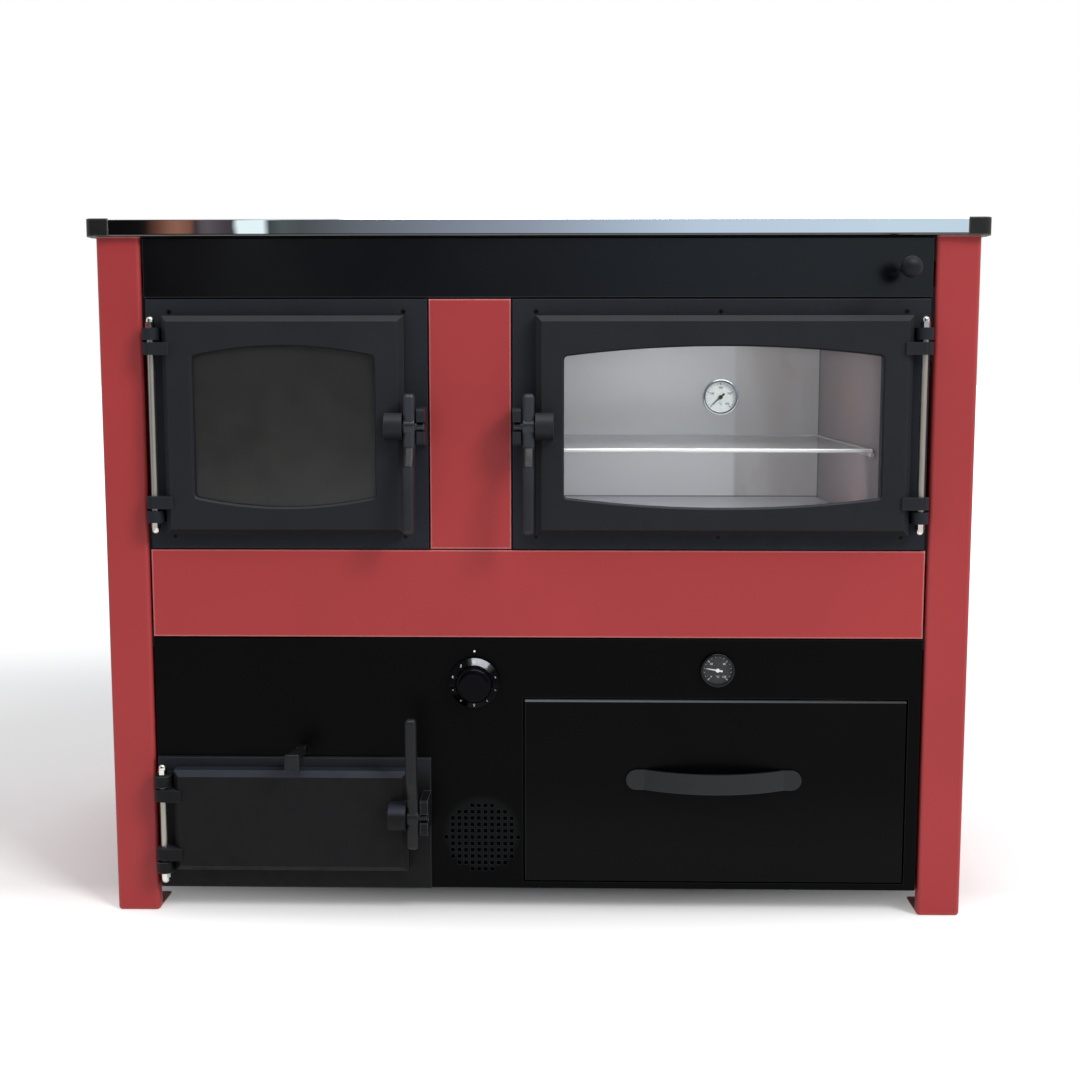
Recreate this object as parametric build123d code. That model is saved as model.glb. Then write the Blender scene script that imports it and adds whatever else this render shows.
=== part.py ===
from build123d import *
import os

# Wood-fired kitchen cookstove with a water jacket.
# Frame: millimetres, +Z up, floor at z = 0, +X to the viewer's right when facing the doors,
# the doors look towards -Y. The origin is the middle of the stove's footprint on the floor.

# ---------------------------------------------------------------- driving dimensions
TOP_Z = 850                    # top of the corner caps: kitchen worktop height
BODY_W = 1048                  # over the outer faces of the posts
BODY_D = 600                   # front of the front posts to back of the rear posts
REACH = 71                     # how far knobs stand out in front and the flue spigot behind

POST_W = 52.5
POST_D = 60
UNDERSIDE_Z = 32               # underside of the body above the floor
SHEET = 1.5
EDGE_R = 1.2                   # rounding of folded and cast edges
PANEL_DEPTH = 4                # a front panel's folded edge
PANEL_GAP = 3                  # gap between the panels and the posts
SEAM = 1.5                     # gap between one front panel and the next

RAIL_H = 20.5                  # polished rail round the hob
RAIL_OVERHANG = 9
CAP_EXTRA = 0.5                # corner caps stand this proud of the rails
CAP_LEG = 28
CORNER_R = 9

FASCIA_Z = 757.5               # bottom edge of the upper fascia
BAND_TOP = 455.5
BAND_BOTTOM = 347.6
STRIP_X = (-128, -30)          # red strip between the two upper frames
FIREBOX_PLATE_X = (-466.5, -129.5)
OVEN_PLATE_X = (-28.5, 466.5)
ASH_PLATE_TOP = 198.5

UPPER_DOOR_Z = (476, 736)
FIREBOX_DOOR_X = (-443, -156)
OVEN_DOOR_X = (0, 443)
ASH_DOOR_Z = (61, 187)
DOOR_T = 23
DOOR_FACE = 7                  # thickness of a door's front plate
DOOR_BEVEL = 7
DOOR_RIM = 18                  # width of a door's rear rim
DOOR_GAP = 1                   # door back to frame face
SEAL_W = 8                     # rope seal in a groove of the rear rim
SEAL_DEPTH = 6.8

FIREBOX_WINDOW_X = (-406.8, -190.8)
OVEN_WINDOW_X = (33.5, 408)
WINDOW_Z = (521.5, 688)        # at the window's corners
WINDOW_RISE = 12               # arch height, above and below the corners
WINDOW_CORNER = 5
WINDOW_BEVEL = 2

FIREBOX_OPENING = (-420, -180, 500, 712)     # x, x, z, z
OVEN_OPENING = (20, 413, 494, 712)
ASH_OPENING = (-425, -178, 79, 171)
FRAME_T = 6
FRAME_RIM = 8                  # wall of the lining behind the firebox and ash frames
OVEN_FRAME_RIM = 4
ASH_FRAME_PROUD = 6            # the ash frame lies on the face of the lower panel

HINGE_X = 456.5                # hinge rods stand this far either side of the middle
HINGE_R = 4
HINGE_IN = 8                   # hinge axis behind the door's front face
HINGE_BORE_HALF = 150          # longer than any hinge, so that a bore runs right through
RUNNING = 0.05                 # radial clearance of a pin in its bore
KNUCKLE_R = 10
ARM_OFFSET = 84                # inner face of a door arm, from the hinge's middle
ARM_H = 14.5
KNUCKLE_OFFSET = 101.5
KNUCKLE_H = 14
NUT_H = 14
NUT_AF = 10
ASH_HINGE_Z = 119              # middle of the ash door's hinge
ASH_HINGE_SHRINK = 54.5        # the ash door's hinge is this much shorter at each end

LEVER_W = 14
LEVER_T = 13
LEVER_UP = 39                  # short arm of a lever, from its pin
LEVER_DOWN = 126               # cranked arm of a lever, from its pin
CRANK = 15                     # a lever's grip stands this far in front of its arm
LEVER_BACK = 4                 # back of the short arm behind the pin's axis
HUB_R = 10.5
PIN_R = 5
PIN_OUT = 12                   # handle pin in front of the door's face
PIN_END = 25.5                 # end of the pin beyond the door's edge
BOSS_R = 16
BOSS_L = 21
KEEPER_IN, KEEPER_OUT = 17.1, 26.5           # sides of a catch beyond the door's edge
KEEPER_HALF_H = 22.5

DRAWER_X = (-14, 451)
DRAWER_Z = (43, 271)
DRAWER_GAP = 2.5
DRAWER_DEPTH = 430
DRAWER_HANDLE_X = (110.5, 324.5)
DRAWER_HANDLE_Z = 173
DRAWER_HANDLE_H = 24.5
DRAWER_HANDLE_BOW = 22

KNOB_X, KNOB_Z = -75.5, 293
KNOB_R = 31
VENT_X, VENT_Z = -67, 97
VENT_R = 45
VENT_PITCH = 8.1
VENT_HOLE = 4.8
BOILER_GAUGE_X, BOILER_GAUGE_Z = 221, 309
OVEN_GAUGE_X, OVEN_GAUGE_Z = 217.5, 640.5
GAUGE_R = 21
GAUGE_BODY_R = 18
GAUGE_STEM_R = 3

DAMPER_X, DAMPER_Z = 429, 789
DAMPER_BALL_R = 12.5
ROD_R = 4

SHAKER_X, SHAKER_Z = -288.5, 208

HOB_T = 12
HOB_HOLE = (-300, -60)
RING_R = 119.5
LID_R = 67.5
REBATE_W = 8                   # width of the steps that carry the ring and the lid
REBATE_Z = 6                   # height of the hob's step above its underside
SEAT = 0.3                     # gap under each resting plate

JACKET_X = (-465, -132)
JACKET_Y1 = 200
JACKET_WALL = 40
JACKET_PLATE = 4
JACKET_Z0 = 190
JACKET_RIGHT_TOP = 760         # the wall towards the oven ends lower, so smoke can pass over it
OVEN_X = (14, 413)
OVEN_Z = (482, 716)
OVEN_BACK = 140
RUNNER_W = 7                   # pressed runners under the oven's shelf
RUNNER_H = 4
SHELF_Z = 574
SHELF_RIM_R = 2.5
BAFFLE_T = 3

FLUE_X, FLUE_Z = 365, 745
FLUE_R = 75
FLUE_WALL = 3
SOCKET_X = -400
SOCKET_LOW_Z, SOCKET_HIGH_Z = 260, 780
SOCKET_R = 20
SOCKET_PIPE_R = 14
SOCKET_BORE_R = 15.15          # one-inch pipe thread
SOCKET_THREAD_L = 40
SOCKET_REACH = 22              # sockets stand out behind the stove

# ---------------------------------------------------------------- derived planes
FRONT = -BODY_D / 2
REAR = BODY_D / 2
SIDE = BODY_W / 2
PANEL_BACK = FRONT + PANEL_DEPTH
BAR_T = 12
BAR_BACK = PANEL_BACK + BAR_T
INNER_SIDE = SIDE - POST_W
PANEL_X = INNER_SIDE - PANEL_GAP
FRAME_FACE = PANEL_BACK - FRAME_T
ASH_FRAME_FACE = FRONT - ASH_FRAME_PROUD
RAIL_TOP = TOP_Z - CAP_EXTRA
POST_TOP = RAIL_TOP - RAIL_H
RAIL_X = SIDE + RAIL_OVERHANG
RAIL_Y = REAR + RAIL_OVERHANG
RAIL_T = 12
LEDGE_H = 7.5
LEDGE_W = 16
HOB_Z0 = POST_TOP + LEDGE_H
HOB_TOP = HOB_Z0 + HOB_T
REAR_SHEET_BACK = REAR - 2
REAR_SHEET_FRONT = REAR_SHEET_BACK - SHEET
UPPER_HINGE_Z = sum(UPPER_DOOR_Z) / 2
UPPER_PLATE_Z = (BAND_TOP + SEAM, FASCIA_Z - SEAM)
DOOR_BACK = FRAME_FACE - DOOR_GAP
DOOR_FRONT = DOOR_BACK - DOOR_T
ASH_DOOR_BACK = ASH_FRAME_FACE - DOOR_GAP
ASH_DOOR_FRONT = ASH_DOOR_BACK - DOOR_T
HINGE_Y = DOOR_FRONT + HINGE_IN
ASH_HINGE_Y = ASH_DOOR_FRONT + HINGE_IN
HANDLE_Z = UPPER_HINGE_Z
ASH_HANDLE_Z = 135
FURTHEST_FRONT = FRONT - REACH
FURTHEST_BACK = REAR + REACH


# ---------------------------------------------------------------- helpers
def block(x0, x1, y0, y1, z0, z1):
    """Box between two corners."""
    return Pos((x0 + x1) / 2, (y0 + y1) / 2, (z0 + z1) / 2) * Box(x1 - x0, y1 - y0, z1 - z0)


def rod_x(r, x0, x1, y, z):
    """Round bar along X."""
    return Pos((x0 + x1) / 2, y, z) * Rot(0, 90, 0) * Cylinder(r, x1 - x0)


def rod_y(r, x, y0, y1, z):
    """Round bar along Y."""
    return Pos(x, (y0 + y1) / 2, z) * Rot(90, 0, 0) * Cylinder(r, y1 - y0)


def rod_z(r, x, y, z0, z1):
    """Round bar along Z."""
    return Pos(x, y, (z0 + z1) / 2) * Cylinder(r, z1 - z0)


def edges_at(shape, axis, value):
    """The edges that lie wholly in one plane across an axis."""
    return shape.edges().filter_by_position(axis, value - 0.01, value + 0.01)


def group(*shapes):
    """Separate solids kept together in one node."""
    return Compound(children=[solid for shape in shapes for solid in shape.solids()])


def ring_block(x0, x1, y0, y1, z0, z1, wall):
    """Rectangular ring seen along Y, with a wall of even width."""
    outer = block(x0, x1, y0, y1, z0, z1)
    return outer - block(x0 + wall, x1 - wall, y0 - 1, y1 + 1, z0 + wall, z1 - wall)


def folded_panel(x0, x1, z0, z1, front=FRONT, depth=PANEL_DEPTH):
    """Sheet panel with its four edges folded back, open behind."""
    outer = block(x0, x1, front, front + depth, z0, z1)
    outer = fillet(edges_at(outer, Axis.Y, front), EDGE_R)
    hollow = block(x0 + SHEET, x1 - SHEET, front + SHEET, front + depth + 1, z0 + SHEET, z1 - SHEET)
    return outer - hollow


def open_box(x0, x1, y0, y1, z0, z1, wall=SHEET):
    """Sheet box without a lid."""
    hollow = block(x0 + wall, x1 - wall, y0 + wall, y1 - wall, z0 + wall, z1 + 1)
    return block(x0, x1, y0, y1, z0, z1) - hollow


def prism_y(face, y0, y1):
    """Extrude a face drawn as (x, z) between two Y planes."""
    solid = extrude(face, amount=y1 - y0)
    return Pos(0, y1, 0) * Rot(90, 0, 0) * solid


def arched_face(x0, x1, z0, z1, rise, corner):
    """Window outline: straight sides, top and bottom bowed outwards."""
    middle = (x0 + x1) / 2
    outline = [
        Line((x0, z0), (x0, z1)),
        ThreePointArc((x0, z1), (middle, z1 + rise), (x1, z1)),
        Line((x1, z1), (x1, z0)),
        ThreePointArc((x1, z0), (middle, z0 - rise), (x0, z0)),
    ]
    face = make_face(outline)
    return fillet(face.vertices(), corner)


# ---------------------------------------------------------------- body shell
def post(x_sign, y_sign):
    """Folded steel column on a thin foot plate; under the body only its two outer walls go down."""
    x0, x1 = sorted((x_sign * INNER_SIDE, x_sign * SIDE))
    y0, y1 = sorted((y_sign * (REAR - POST_D), y_sign * REAR))
    wall, foot, corner, foot_corner, fold = 2, 3, 5, 4, 12
    column = block(x0, x1, y0, y1, 0, POST_TOP)
    column = fillet(column.edges().filter_by(Axis.Z), corner)
    column = fillet(edges_at(column, Axis.Z, 0), foot_corner)
    hollow = block(x0 + wall, x1 - wall, y0 + wall, y1 - wall, foot, POST_TOP + 1)
    hollow = fillet(hollow.edges().filter_by(Axis.Z), corner - wall / 2)
    u0, u1 = sorted((x_sign * (INNER_SIDE - 1), x_sign * (SIDE - fold)))
    v0, v1 = sorted((y_sign * (REAR - POST_D - 1), y_sign * (REAR - fold)))
    return column - hollow - block(u0, u1, v0, v1, foot, UNDERSIDE_Z - 2)


def front_posts():
    return group(post(-1, -1), post(1, -1))


def rear_posts():
    return group(post(-1, 1), post(1, 1))


def side_panel(x_sign):
    """Flat cover between the posts of one side, folded inwards all round."""
    outer_face, fold, inset = SIDE - 3, 15, PANEL_GAP / 2
    half = REAR - POST_D - inset
    x0, x1 = sorted((x_sign * (outer_face - fold), x_sign * outer_face))
    top = POST_TOP - 1
    panel = block(x0, x1, -half, half, UNDERSIDE_Z, top)
    panel = fillet(edges_at(panel, Axis.X, x_sign * outer_face), EDGE_R)
    h0, h1 = sorted((x_sign * (outer_face - fold - 1), x_sign * (outer_face - SHEET)))
    return panel - block(h0, h1, SHEET - half, half - SHEET, UNDERSIDE_Z + SHEET, top - SHEET)


def side_panels():
    return group(side_panel(-1), side_panel(1))


def rear_panel():
    """Back sheet with holes for the flue spigot and the two water sockets."""
    slack = 1
    panel = block(-PANEL_X, PANEL_X, REAR_SHEET_FRONT, REAR_SHEET_BACK, UNDERSIDE_Z, POST_TOP - 1)
    y0, y1 = REAR_SHEET_FRONT - 1, REAR_SHEET_BACK + 1
    panel -= rod_y(FLUE_R + slack, FLUE_X, y0, y1, FLUE_Z)
    for z in (SOCKET_LOW_Z, SOCKET_HIGH_Z):
        panel -= rod_y(SOCKET_R + slack, SOCKET_X, y0, y1, z)
    return panel


def base_panel():
    """Floor sheet of the body, with a short upstand behind the lower front panel."""
    sheet, upstand_h = 2, 7
    z0 = UNDERSIDE_Z
    floor = block(-PANEL_X, PANEL_X, PANEL_BACK, REAR_SHEET_FRONT, z0, z0 + sheet)
    return floor + block(-PANEL_X, PANEL_X, PANEL_BACK, PANEL_BACK + sheet, z0, z0 + upstand_h)


def carcass_bars():
    """Flat steel bars that tie the posts together and carry panels and frames."""
    top, knee = (POST_TOP - 29, POST_TOP), (334, 364)
    above_doors, below_doors = (722, 770), (438, 486)
    bars = []
    for z0, z1 in (top, above_doors, below_doors, knee):
        bars.append(cut_screws(block(-INNER_SIDE, INNER_SIDE, PANEL_BACK, BAR_BACK, z0, z1)))
    mullion_x = (STRIP_X[0] + 13, STRIP_X[1] - 13)
    bars.append(block(*mullion_x, PANEL_BACK, BAR_BACK, below_doors[1], above_doors[0]))
    for z0, z1 in ((POST_TOP - 8, POST_TOP), knee):
        bars.append(block(-INNER_SIDE, INNER_SIDE, REAR_SHEET_FRONT - BAR_T, REAR_SHEET_FRONT, z0, z1))
    into_post = 8
    for x_sign in (-1, 1):
        near, far = INNER_SIDE + into_post, INNER_SIDE + into_post + BAR_T
        x0, x1 = sorted((x_sign * near, x_sign * far))
        for z0, z1 in (top, knee):
            bars.append(block(x0, x1, -REAR + POST_D, REAR - POST_D, z0, z1))
    return group(*bars)


def upper_fascia():
    """Black panel under the hob; the damper rod runs through it."""
    panel = folded_panel(-PANEL_X, PANEL_X, FASCIA_Z, POST_TOP - SEAM)
    return panel - rod_y(ROD_R + RUNNING * 2, DAMPER_X, FRONT - 1, PANEL_BACK + 1, DAMPER_Z)


def centre_strip():
    """Red upright panel between the firebox door and the oven door."""
    return folded_panel(*STRIP_X, *UPPER_PLATE_Z)


def middle_band():
    """Red panel across the front below the two upper doors."""
    return folded_panel(-PANEL_X, PANEL_X, BAND_BOTTOM + SEAM / 2, BAND_TOP)


def vent_holes(y0, y1):
    """Square holes on a grid, kept where their middles fall inside the vent's circle."""
    half = VENT_HOLE / 2
    steps = range(-6, 7)
    centres = [((i + 0.5) * VENT_PITCH, j * VENT_PITCH) for i in steps for j in steps]
    inside = [(u, v) for u, v in centres if u * u + v * v <= VENT_R * VENT_R]
    return [block(VENT_X + u - half, VENT_X + u + half, y0, y1, VENT_Z + v - half, VENT_Z + v + half)
            for u, v in inside]


def lower_front_panel():
    """Black panel below the red band, cut out for the ash frame, the drawer and the controls."""
    y0, y1 = FRONT - 1, PANEL_BACK + 1
    panel = folded_panel(-PANEL_X, PANEL_X, UNDERSIDE_Z, BAND_BOTTOM - SEAM / 2)
    around_rim = FRAME_RIM + 1
    ox0, ox1, oz0, oz1 = ASH_OPENING
    panel -= block(ox0 - around_rim, ox1 + around_rim, y0, y1, oz0 - around_rim, oz1 + around_rim)
    panel -= block(DRAWER_X[0] - DRAWER_GAP, DRAWER_X[1] + DRAWER_GAP, y0, y1,
                   DRAWER_Z[0] - DRAWER_GAP, DRAWER_Z[1] + DRAWER_GAP)
    panel -= rod_y(PIN_R + 2, KNOB_X, y0, y1, KNOB_Z)
    panel -= rod_y(GAUGE_BODY_R + 0.5, BOILER_GAUGE_X, y0, y1, BOILER_GAUGE_Z)
    panel -= block(SHAKER_X - 7, SHAKER_X + 7, y0, y1, SHAKER_Z - 5, SHAKER_Z + 5)
    for hole in vent_holes(y0, y1):
        panel -= hole
    return panel


# ---------------------------------------------------------------- hob and rails
def rail(length_half, across):
    """L-section rail along X: polished outer bar and an inner ledge under the hob."""
    inner = RAIL_T - across
    outer = block(-length_half, length_half, -across, inner, POST_TOP, RAIL_TOP)
    outer = fillet(edges_at(outer, Axis.Y, -across).filter_by(Axis.X), 2)
    return outer + block(-length_half, length_half, inner, inner + LEDGE_W, POST_TOP, HOB_Z0)


def top_rails():
    """Four rails; the side pair stops against the ledges of the front and rear pair."""
    cap = CAP_LEG - CAP_EXTRA
    front = rail(RAIL_X - cap, RAIL_Y)
    side_half = RAIL_Y - cap
    side = Rot(0, 0, -90) * rail(side_half, RAIL_X)
    trim = RAIL_T + LEDGE_W
    for y0, y1 in ((-RAIL_Y, -RAIL_Y + trim), (RAIL_Y - trim, RAIL_Y)):
        side -= block(-RAIL_X + RAIL_T, RAIL_X, y0, y1, POST_TOP - 1, RAIL_TOP + 1)
    return group(front, Rot(0, 0, 180) * front, side, Rot(0, 0, 180) * side)


def corner_cap():
    """Rounded corner piece of the rail, front left."""
    x0, y0 = -RAIL_X - CAP_EXTRA, -RAIL_Y - CAP_EXTRA
    x1, y1 = x0 + CAP_LEG, y0 + CAP_LEG
    cap = block(x0, x1, y0, y1, POST_TOP, TOP_Z)
    outer_edge = cap.edges().filter_by(Axis.Z).sort_by(Axis.X)[:2].sort_by(Axis.Y)[0]
    cap = fillet(outer_edge, CORNER_R)
    cap = fillet(edges_at(cap, Axis.Z, TOP_Z), EDGE_R)
    clear = RAIL_T + CAP_EXTRA
    return cap - block(x0 + clear, x1 + 1, y0 + clear, y1 + 1, POST_TOP - 1, TOP_Z + 1)


def top_corners():
    """The four corner pieces of the rail."""
    left = corner_cap()
    right = mirror(left, about=Plane.YZ)
    return group(left, right, mirror(left, about=Plane.XZ), mirror(right, about=Plane.XZ))


def hob_plate():
    """Cast hob with a stepped round hole over the fire."""
    slack = 0.5
    half_x, half_y = RAIL_X - RAIL_T - slack, RAIL_Y - RAIL_T - slack
    plate = block(-half_x, half_x, -half_y, half_y, HOB_Z0, HOB_TOP)
    plate = fillet(edges_at(plate, Axis.Z, HOB_TOP), EDGE_R)
    return plate - stepped_hole(RING_R, HOB_Z0 + REBATE_Z)


def stepped_hole(r, z_step):
    """Hole with a step for a plate of radius r."""
    slack = 0.5
    wide = rod_z(r + slack, *HOB_HOLE, z_step, HOB_TOP + 1)
    return wide + rod_z(r + slack - REBATE_W, *HOB_HOLE, HOB_Z0 - 1, z_step)


def stepped_disc(r, z_step):
    """Plate of radius r whose upper flange rests on a step."""
    return rod_z(r, *HOB_HOLE, z_step, HOB_TOP) + rod_z(r - REBATE_W, *HOB_HOLE, HOB_Z0, z_step)


def hob_ring():
    """Ring that fills the hob's hole round the centre lid."""
    step = HOB_Z0 + REBATE_Z + SEAT
    return stepped_disc(RING_R, step) - stepped_hole(LID_R, step)


def hob_lid():
    """Centre lid with a slotted pocket for the lifting hook."""
    lid = stepped_disc(LID_R, HOB_Z0 + REBATE_Z + 2 * SEAT)
    x, y = HOB_HOLE
    half_l, width, depth, from_middle = 14, 12, 5, 33
    pocket = block(x - half_l, x + half_l, y - from_middle - width, y - from_middle,
                   HOB_TOP - depth, HOB_TOP + 1)
    return lid - fillet(pocket.edges().filter_by(Axis.Z), width / 2 - 0.5)


# ---------------------------------------------------------------- hinges
def knuckle(x, y, face, z0, z1):
    """Cast lug on a frame, round in front, for the hinge rod."""
    return rod_z(KNUCKLE_R, x, y, z0, z1) + block(x - KNUCKLE_R, x + KNUCKLE_R, y, face, z0, z1)


def knuckles(x, y, face, z_mid, shrink=0):
    """The frame's two lugs of one hinge."""
    low, high = KNUCKLE_OFFSET - shrink, KNUCKLE_OFFSET - shrink + KNUCKLE_H
    lugs = knuckle(x, y, face, z_mid + low, z_mid + high)
    return lugs + knuckle(x, y, face, z_mid - high, z_mid - low)


def hinge_bore(x, y, z_mid):
    """Cutter for the bore that runs through lugs and door arms."""
    return rod_z(HINGE_R + RUNNING, x, y, z_mid - HINGE_BORE_HALF, z_mid + HINGE_BORE_HALF)


def door_arm(x, y, door_x, door_front, z0):
    """Strap from the door's edge that ends in an eye round the hinge rod."""
    overlap, proud, strap_back = 10, 3, 6
    x0, x1 = sorted((x, door_x + overlap if door_x > x else door_x - overlap))
    strap = block(x0, x1, door_front - proud, y + strap_back, z0, z0 + ARM_H)
    return rod_z(KNUCKLE_R, x, y, z0, z0 + ARM_H) + strap


def door_arms(x, y, door_x, door_front, z_mid, shrink=0):
    """The two arms of one door, above and below the middle of its hinge."""
    offset = ARM_OFFSET - shrink
    upper = door_arm(x, y, door_x, door_front, z_mid + offset)
    return upper + door_arm(x, y, door_x, door_front, z_mid - offset - ARM_H)


def hinge_rod(x, y, z_mid, shrink=0):
    """Rod whose ends stay hidden inside the nuts."""
    inside_nut = NUT_H - 5
    half = KNUCKLE_OFFSET - shrink + KNUCKLE_H + inside_nut
    return rod_z(HINGE_R, x, y, z_mid - half, z_mid + half)


def acorn_nut(x, y, z_seat, up):
    """Domed nut: hexagon below, dome above, blind bore."""
    dome_r = NUT_AF * 0.47
    hexagon = extrude(RegularPolygon(NUT_AF / 2, 6, major_radius=False), amount=NUT_H / 2)
    neck = rod_z(dome_r, 0, 0, NUT_H / 2, NUT_H - dome_r)
    dome = Pos(0, 0, NUT_H - dome_r) * Sphere(dome_r)
    bore = rod_z(HINGE_R + RUNNING, 0, 0, 0, NUT_H - 4.5)
    flip = Rot(0, 0, 0) if up else Rot(180, 0, 0)
    return Pos(x, y, z_seat) * flip * (hexagon + neck + dome - bore)


def hinge_rods():
    """Rods of the firebox, oven and ash doors."""
    return group(
        hinge_rod(-HINGE_X, HINGE_Y, UPPER_HINGE_Z),
        hinge_rod(HINGE_X, HINGE_Y, UPPER_HINGE_Z),
        hinge_rod(-HINGE_X, ASH_HINGE_Y, ASH_HINGE_Z, ASH_HINGE_SHRINK),
    )


def hinge_nuts():
    """A nut at both ends of each hinge rod."""
    nuts = []
    places = (
        (-HINGE_X, HINGE_Y, UPPER_HINGE_Z, 0),
        (HINGE_X, HINGE_Y, UPPER_HINGE_Z, 0),
        (-HINGE_X, ASH_HINGE_Y, ASH_HINGE_Z, ASH_HINGE_SHRINK),
    )
    for x, y, z_mid, shrink in places:
        reach = KNUCKLE_OFFSET - shrink + KNUCKLE_H
        nuts.append(acorn_nut(x, y, z_mid + reach, True))
        nuts.append(acorn_nut(x, y, z_mid - reach, False))
    return group(*nuts)


# ---------------------------------------------------------------- cast frames
SCREW_HEAD_R = 4.5
SCREW_HEAD_T = 3
SCREW_R = 2.6
SCREW_END = PANEL_BACK + 9


def frame_screw_spots():
    """(x, z) of every countersunk screw that holds the two upper frames."""
    from_end, from_edge = 28.5, 15
    levels = (UPPER_PLATE_Z[0] + from_edge, UPPER_PLATE_Z[1] - from_edge)
    fx0, fx1 = FIREBOX_PLATE_X
    ox0, ox1 = OVEN_PLATE_X
    columns = [fx0 + from_end, fx1 - from_end, ox0 + from_end, (ox0 + ox1) / 2, ox1 - from_end]
    return [(x, z) for x in columns for z in levels]


def screw(x, z, clearance=0.0):
    """Countersunk screw along Y; a clearance makes it a cutter for its hole."""
    head = Cone(SCREW_HEAD_R + clearance, SCREW_R + clearance, SCREW_HEAD_T)
    head = Pos(x, FRAME_FACE + SCREW_HEAD_T / 2, z) * Rot(-90, 0, 0) * head
    return head + rod_y(SCREW_R + clearance, x, FRAME_FACE, SCREW_END + clearance, z)


def frame_screws():
    """All the screws of the two upper frames."""
    return group(*[screw(*spot) for spot in frame_screw_spots()])


def cut_screws(shape):
    """Take the screws' holes out of a frame or bar."""
    for x, z in frame_screw_spots():
        shape -= screw(x, z, 0.2)
    return shape


def cast_frame(plate_x, plate_z, face, back, opening, rim_wall=FRAME_RIM):
    """Cast plate with a rim behind it that lines the opening through the carcass."""
    ox0, ox1, oz0, oz1 = opening
    plate = block(*plate_x, face, back, *plate_z)
    plate = fillet(edges_at(plate, Axis.Y, face), EDGE_R)
    rim = block(ox0 - rim_wall, ox1 + rim_wall, back - 1, BAR_BACK, oz0 - rim_wall, oz1 + rim_wall)
    return plate + rim - block(ox0, ox1, face - 1, BAR_BACK + 1, oz0, oz1)


def keeper(edge_x, side, face, axis_y, axis_z):
    """Catch on the frame: a rounded block with a slot, open in front, for the handle pin."""
    x0, x1 = sorted((edge_x + side * KEEPER_IN, edge_x + side * KEEPER_OUT))
    front, nose_r = axis_y - 7, 6
    catch = block(x0, x1, front, face + 1, axis_z - KEEPER_HALF_H, axis_z + KEEPER_HALF_H)
    catch = fillet(edges_at(catch, Axis.Y, front).filter_by(Axis.X), nose_r)
    slot = PIN_R + 0.6
    mouth = block(x0 - 1, x1 + 1, front - 1, axis_y, axis_z - slot, axis_z + slot)
    return catch - mouth - rod_x(slot, x0 - 1, x1 + 1, axis_y, axis_z)


def firebox_frame():
    """Frame with the firebox door's lugs and catch."""
    frame = cast_frame(FIREBOX_PLATE_X, UPPER_PLATE_Z, FRAME_FACE, PANEL_BACK, FIREBOX_OPENING)
    frame += knuckles(-HINGE_X, HINGE_Y, FRAME_FACE, UPPER_HINGE_Z)
    frame += keeper(FIREBOX_DOOR_X[1], 1, FRAME_FACE, DOOR_FRONT - PIN_OUT, HANDLE_Z)
    return cut_screws(frame - hinge_bore(-HINGE_X, HINGE_Y, UPPER_HINGE_Z))


def oven_frame():
    """Frame with the oven door's lugs and catch, mirrored from the firebox side."""
    frame = cast_frame(OVEN_PLATE_X, UPPER_PLATE_Z, FRAME_FACE, PANEL_BACK, OVEN_OPENING, OVEN_FRAME_RIM)
    frame += knuckles(HINGE_X, HINGE_Y, FRAME_FACE, UPPER_HINGE_Z)
    frame += keeper(OVEN_DOOR_X[0], -1, FRAME_FACE, DOOR_FRONT - PIN_OUT, HANDLE_Z)
    return cut_screws(frame - hinge_bore(HINGE_X, HINGE_Y, UPPER_HINGE_Z))


def ash_frame():
    """The ash frame lies on the lower panel's face; its bottom edge is the panel's."""
    plate_z = (UNDERSIDE_Z + 1, ASH_PLATE_TOP)
    frame = cast_frame(FIREBOX_PLATE_X, plate_z, ASH_FRAME_FACE, FRONT, ASH_OPENING)
    frame += knuckles(-HINGE_X, ASH_HINGE_Y, ASH_FRAME_FACE, ASH_HINGE_Z, ASH_HINGE_SHRINK)
    frame += keeper(FIREBOX_DOOR_X[1], 1, ASH_FRAME_FACE, ASH_DOOR_FRONT - PIN_OUT, ASH_HANDLE_Z)
    return frame - hinge_bore(-HINGE_X, ASH_HINGE_Y, ASH_HINGE_Z)


# ---------------------------------------------------------------- doors
def cast_door(door_x, door_z, front):
    """Cast pan: bevelled front plate, rear rim with a groove for the rope seal."""
    back = front + DOOR_T
    (x0, x1), (z0, z1) = door_x, door_z
    rim = DOOR_RIM
    body = block(x0, x1, front, back, z0, z1)
    body = chamfer(edges_at(body, Axis.Y, front), DOOR_BEVEL)
    body -= block(x0 + rim, x1 - rim, front + DOOR_FACE, back + 1, z0 + rim, z1 - rim)
    return body - seal_ring(door_x, door_z, back - SEAL_DEPTH - 0.2, back + 1, SEAL_W + 0.6)


def seal_ring(door_x, door_z, y0, y1, width):
    """Rectangular ring centred on the middle of the door's rear rim."""
    inset = DOOR_RIM / 2 - width / 2
    (x0, x1), (z0, z1) = door_x, door_z
    return ring_block(x0 + inset, x1 - inset, y0, y1, z0 + inset, z1 - inset, width)


def handle_boss(edge_x, side, front, z):
    """Half-barrel on the door's face that carries the handle pin."""
    inset = 0.2
    x0, x1 = sorted((edge_x - side * (BOSS_L + inset), edge_x - side * inset))
    y = front - PIN_OUT
    return rod_x(BOSS_R, x0, x1, y, z) + block(x0, x1, y, front + DOOR_BEVEL, z - BOSS_R, z + BOSS_R)


def window_cut(window_x):
    """Arched hole through the door's front plate."""
    outline = arched_face(*window_x, *WINDOW_Z, WINDOW_RISE, WINDOW_CORNER)
    return prism_y(outline, DOOR_FRONT - 1, DOOR_FRONT + DOOR_FACE + 1)


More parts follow.
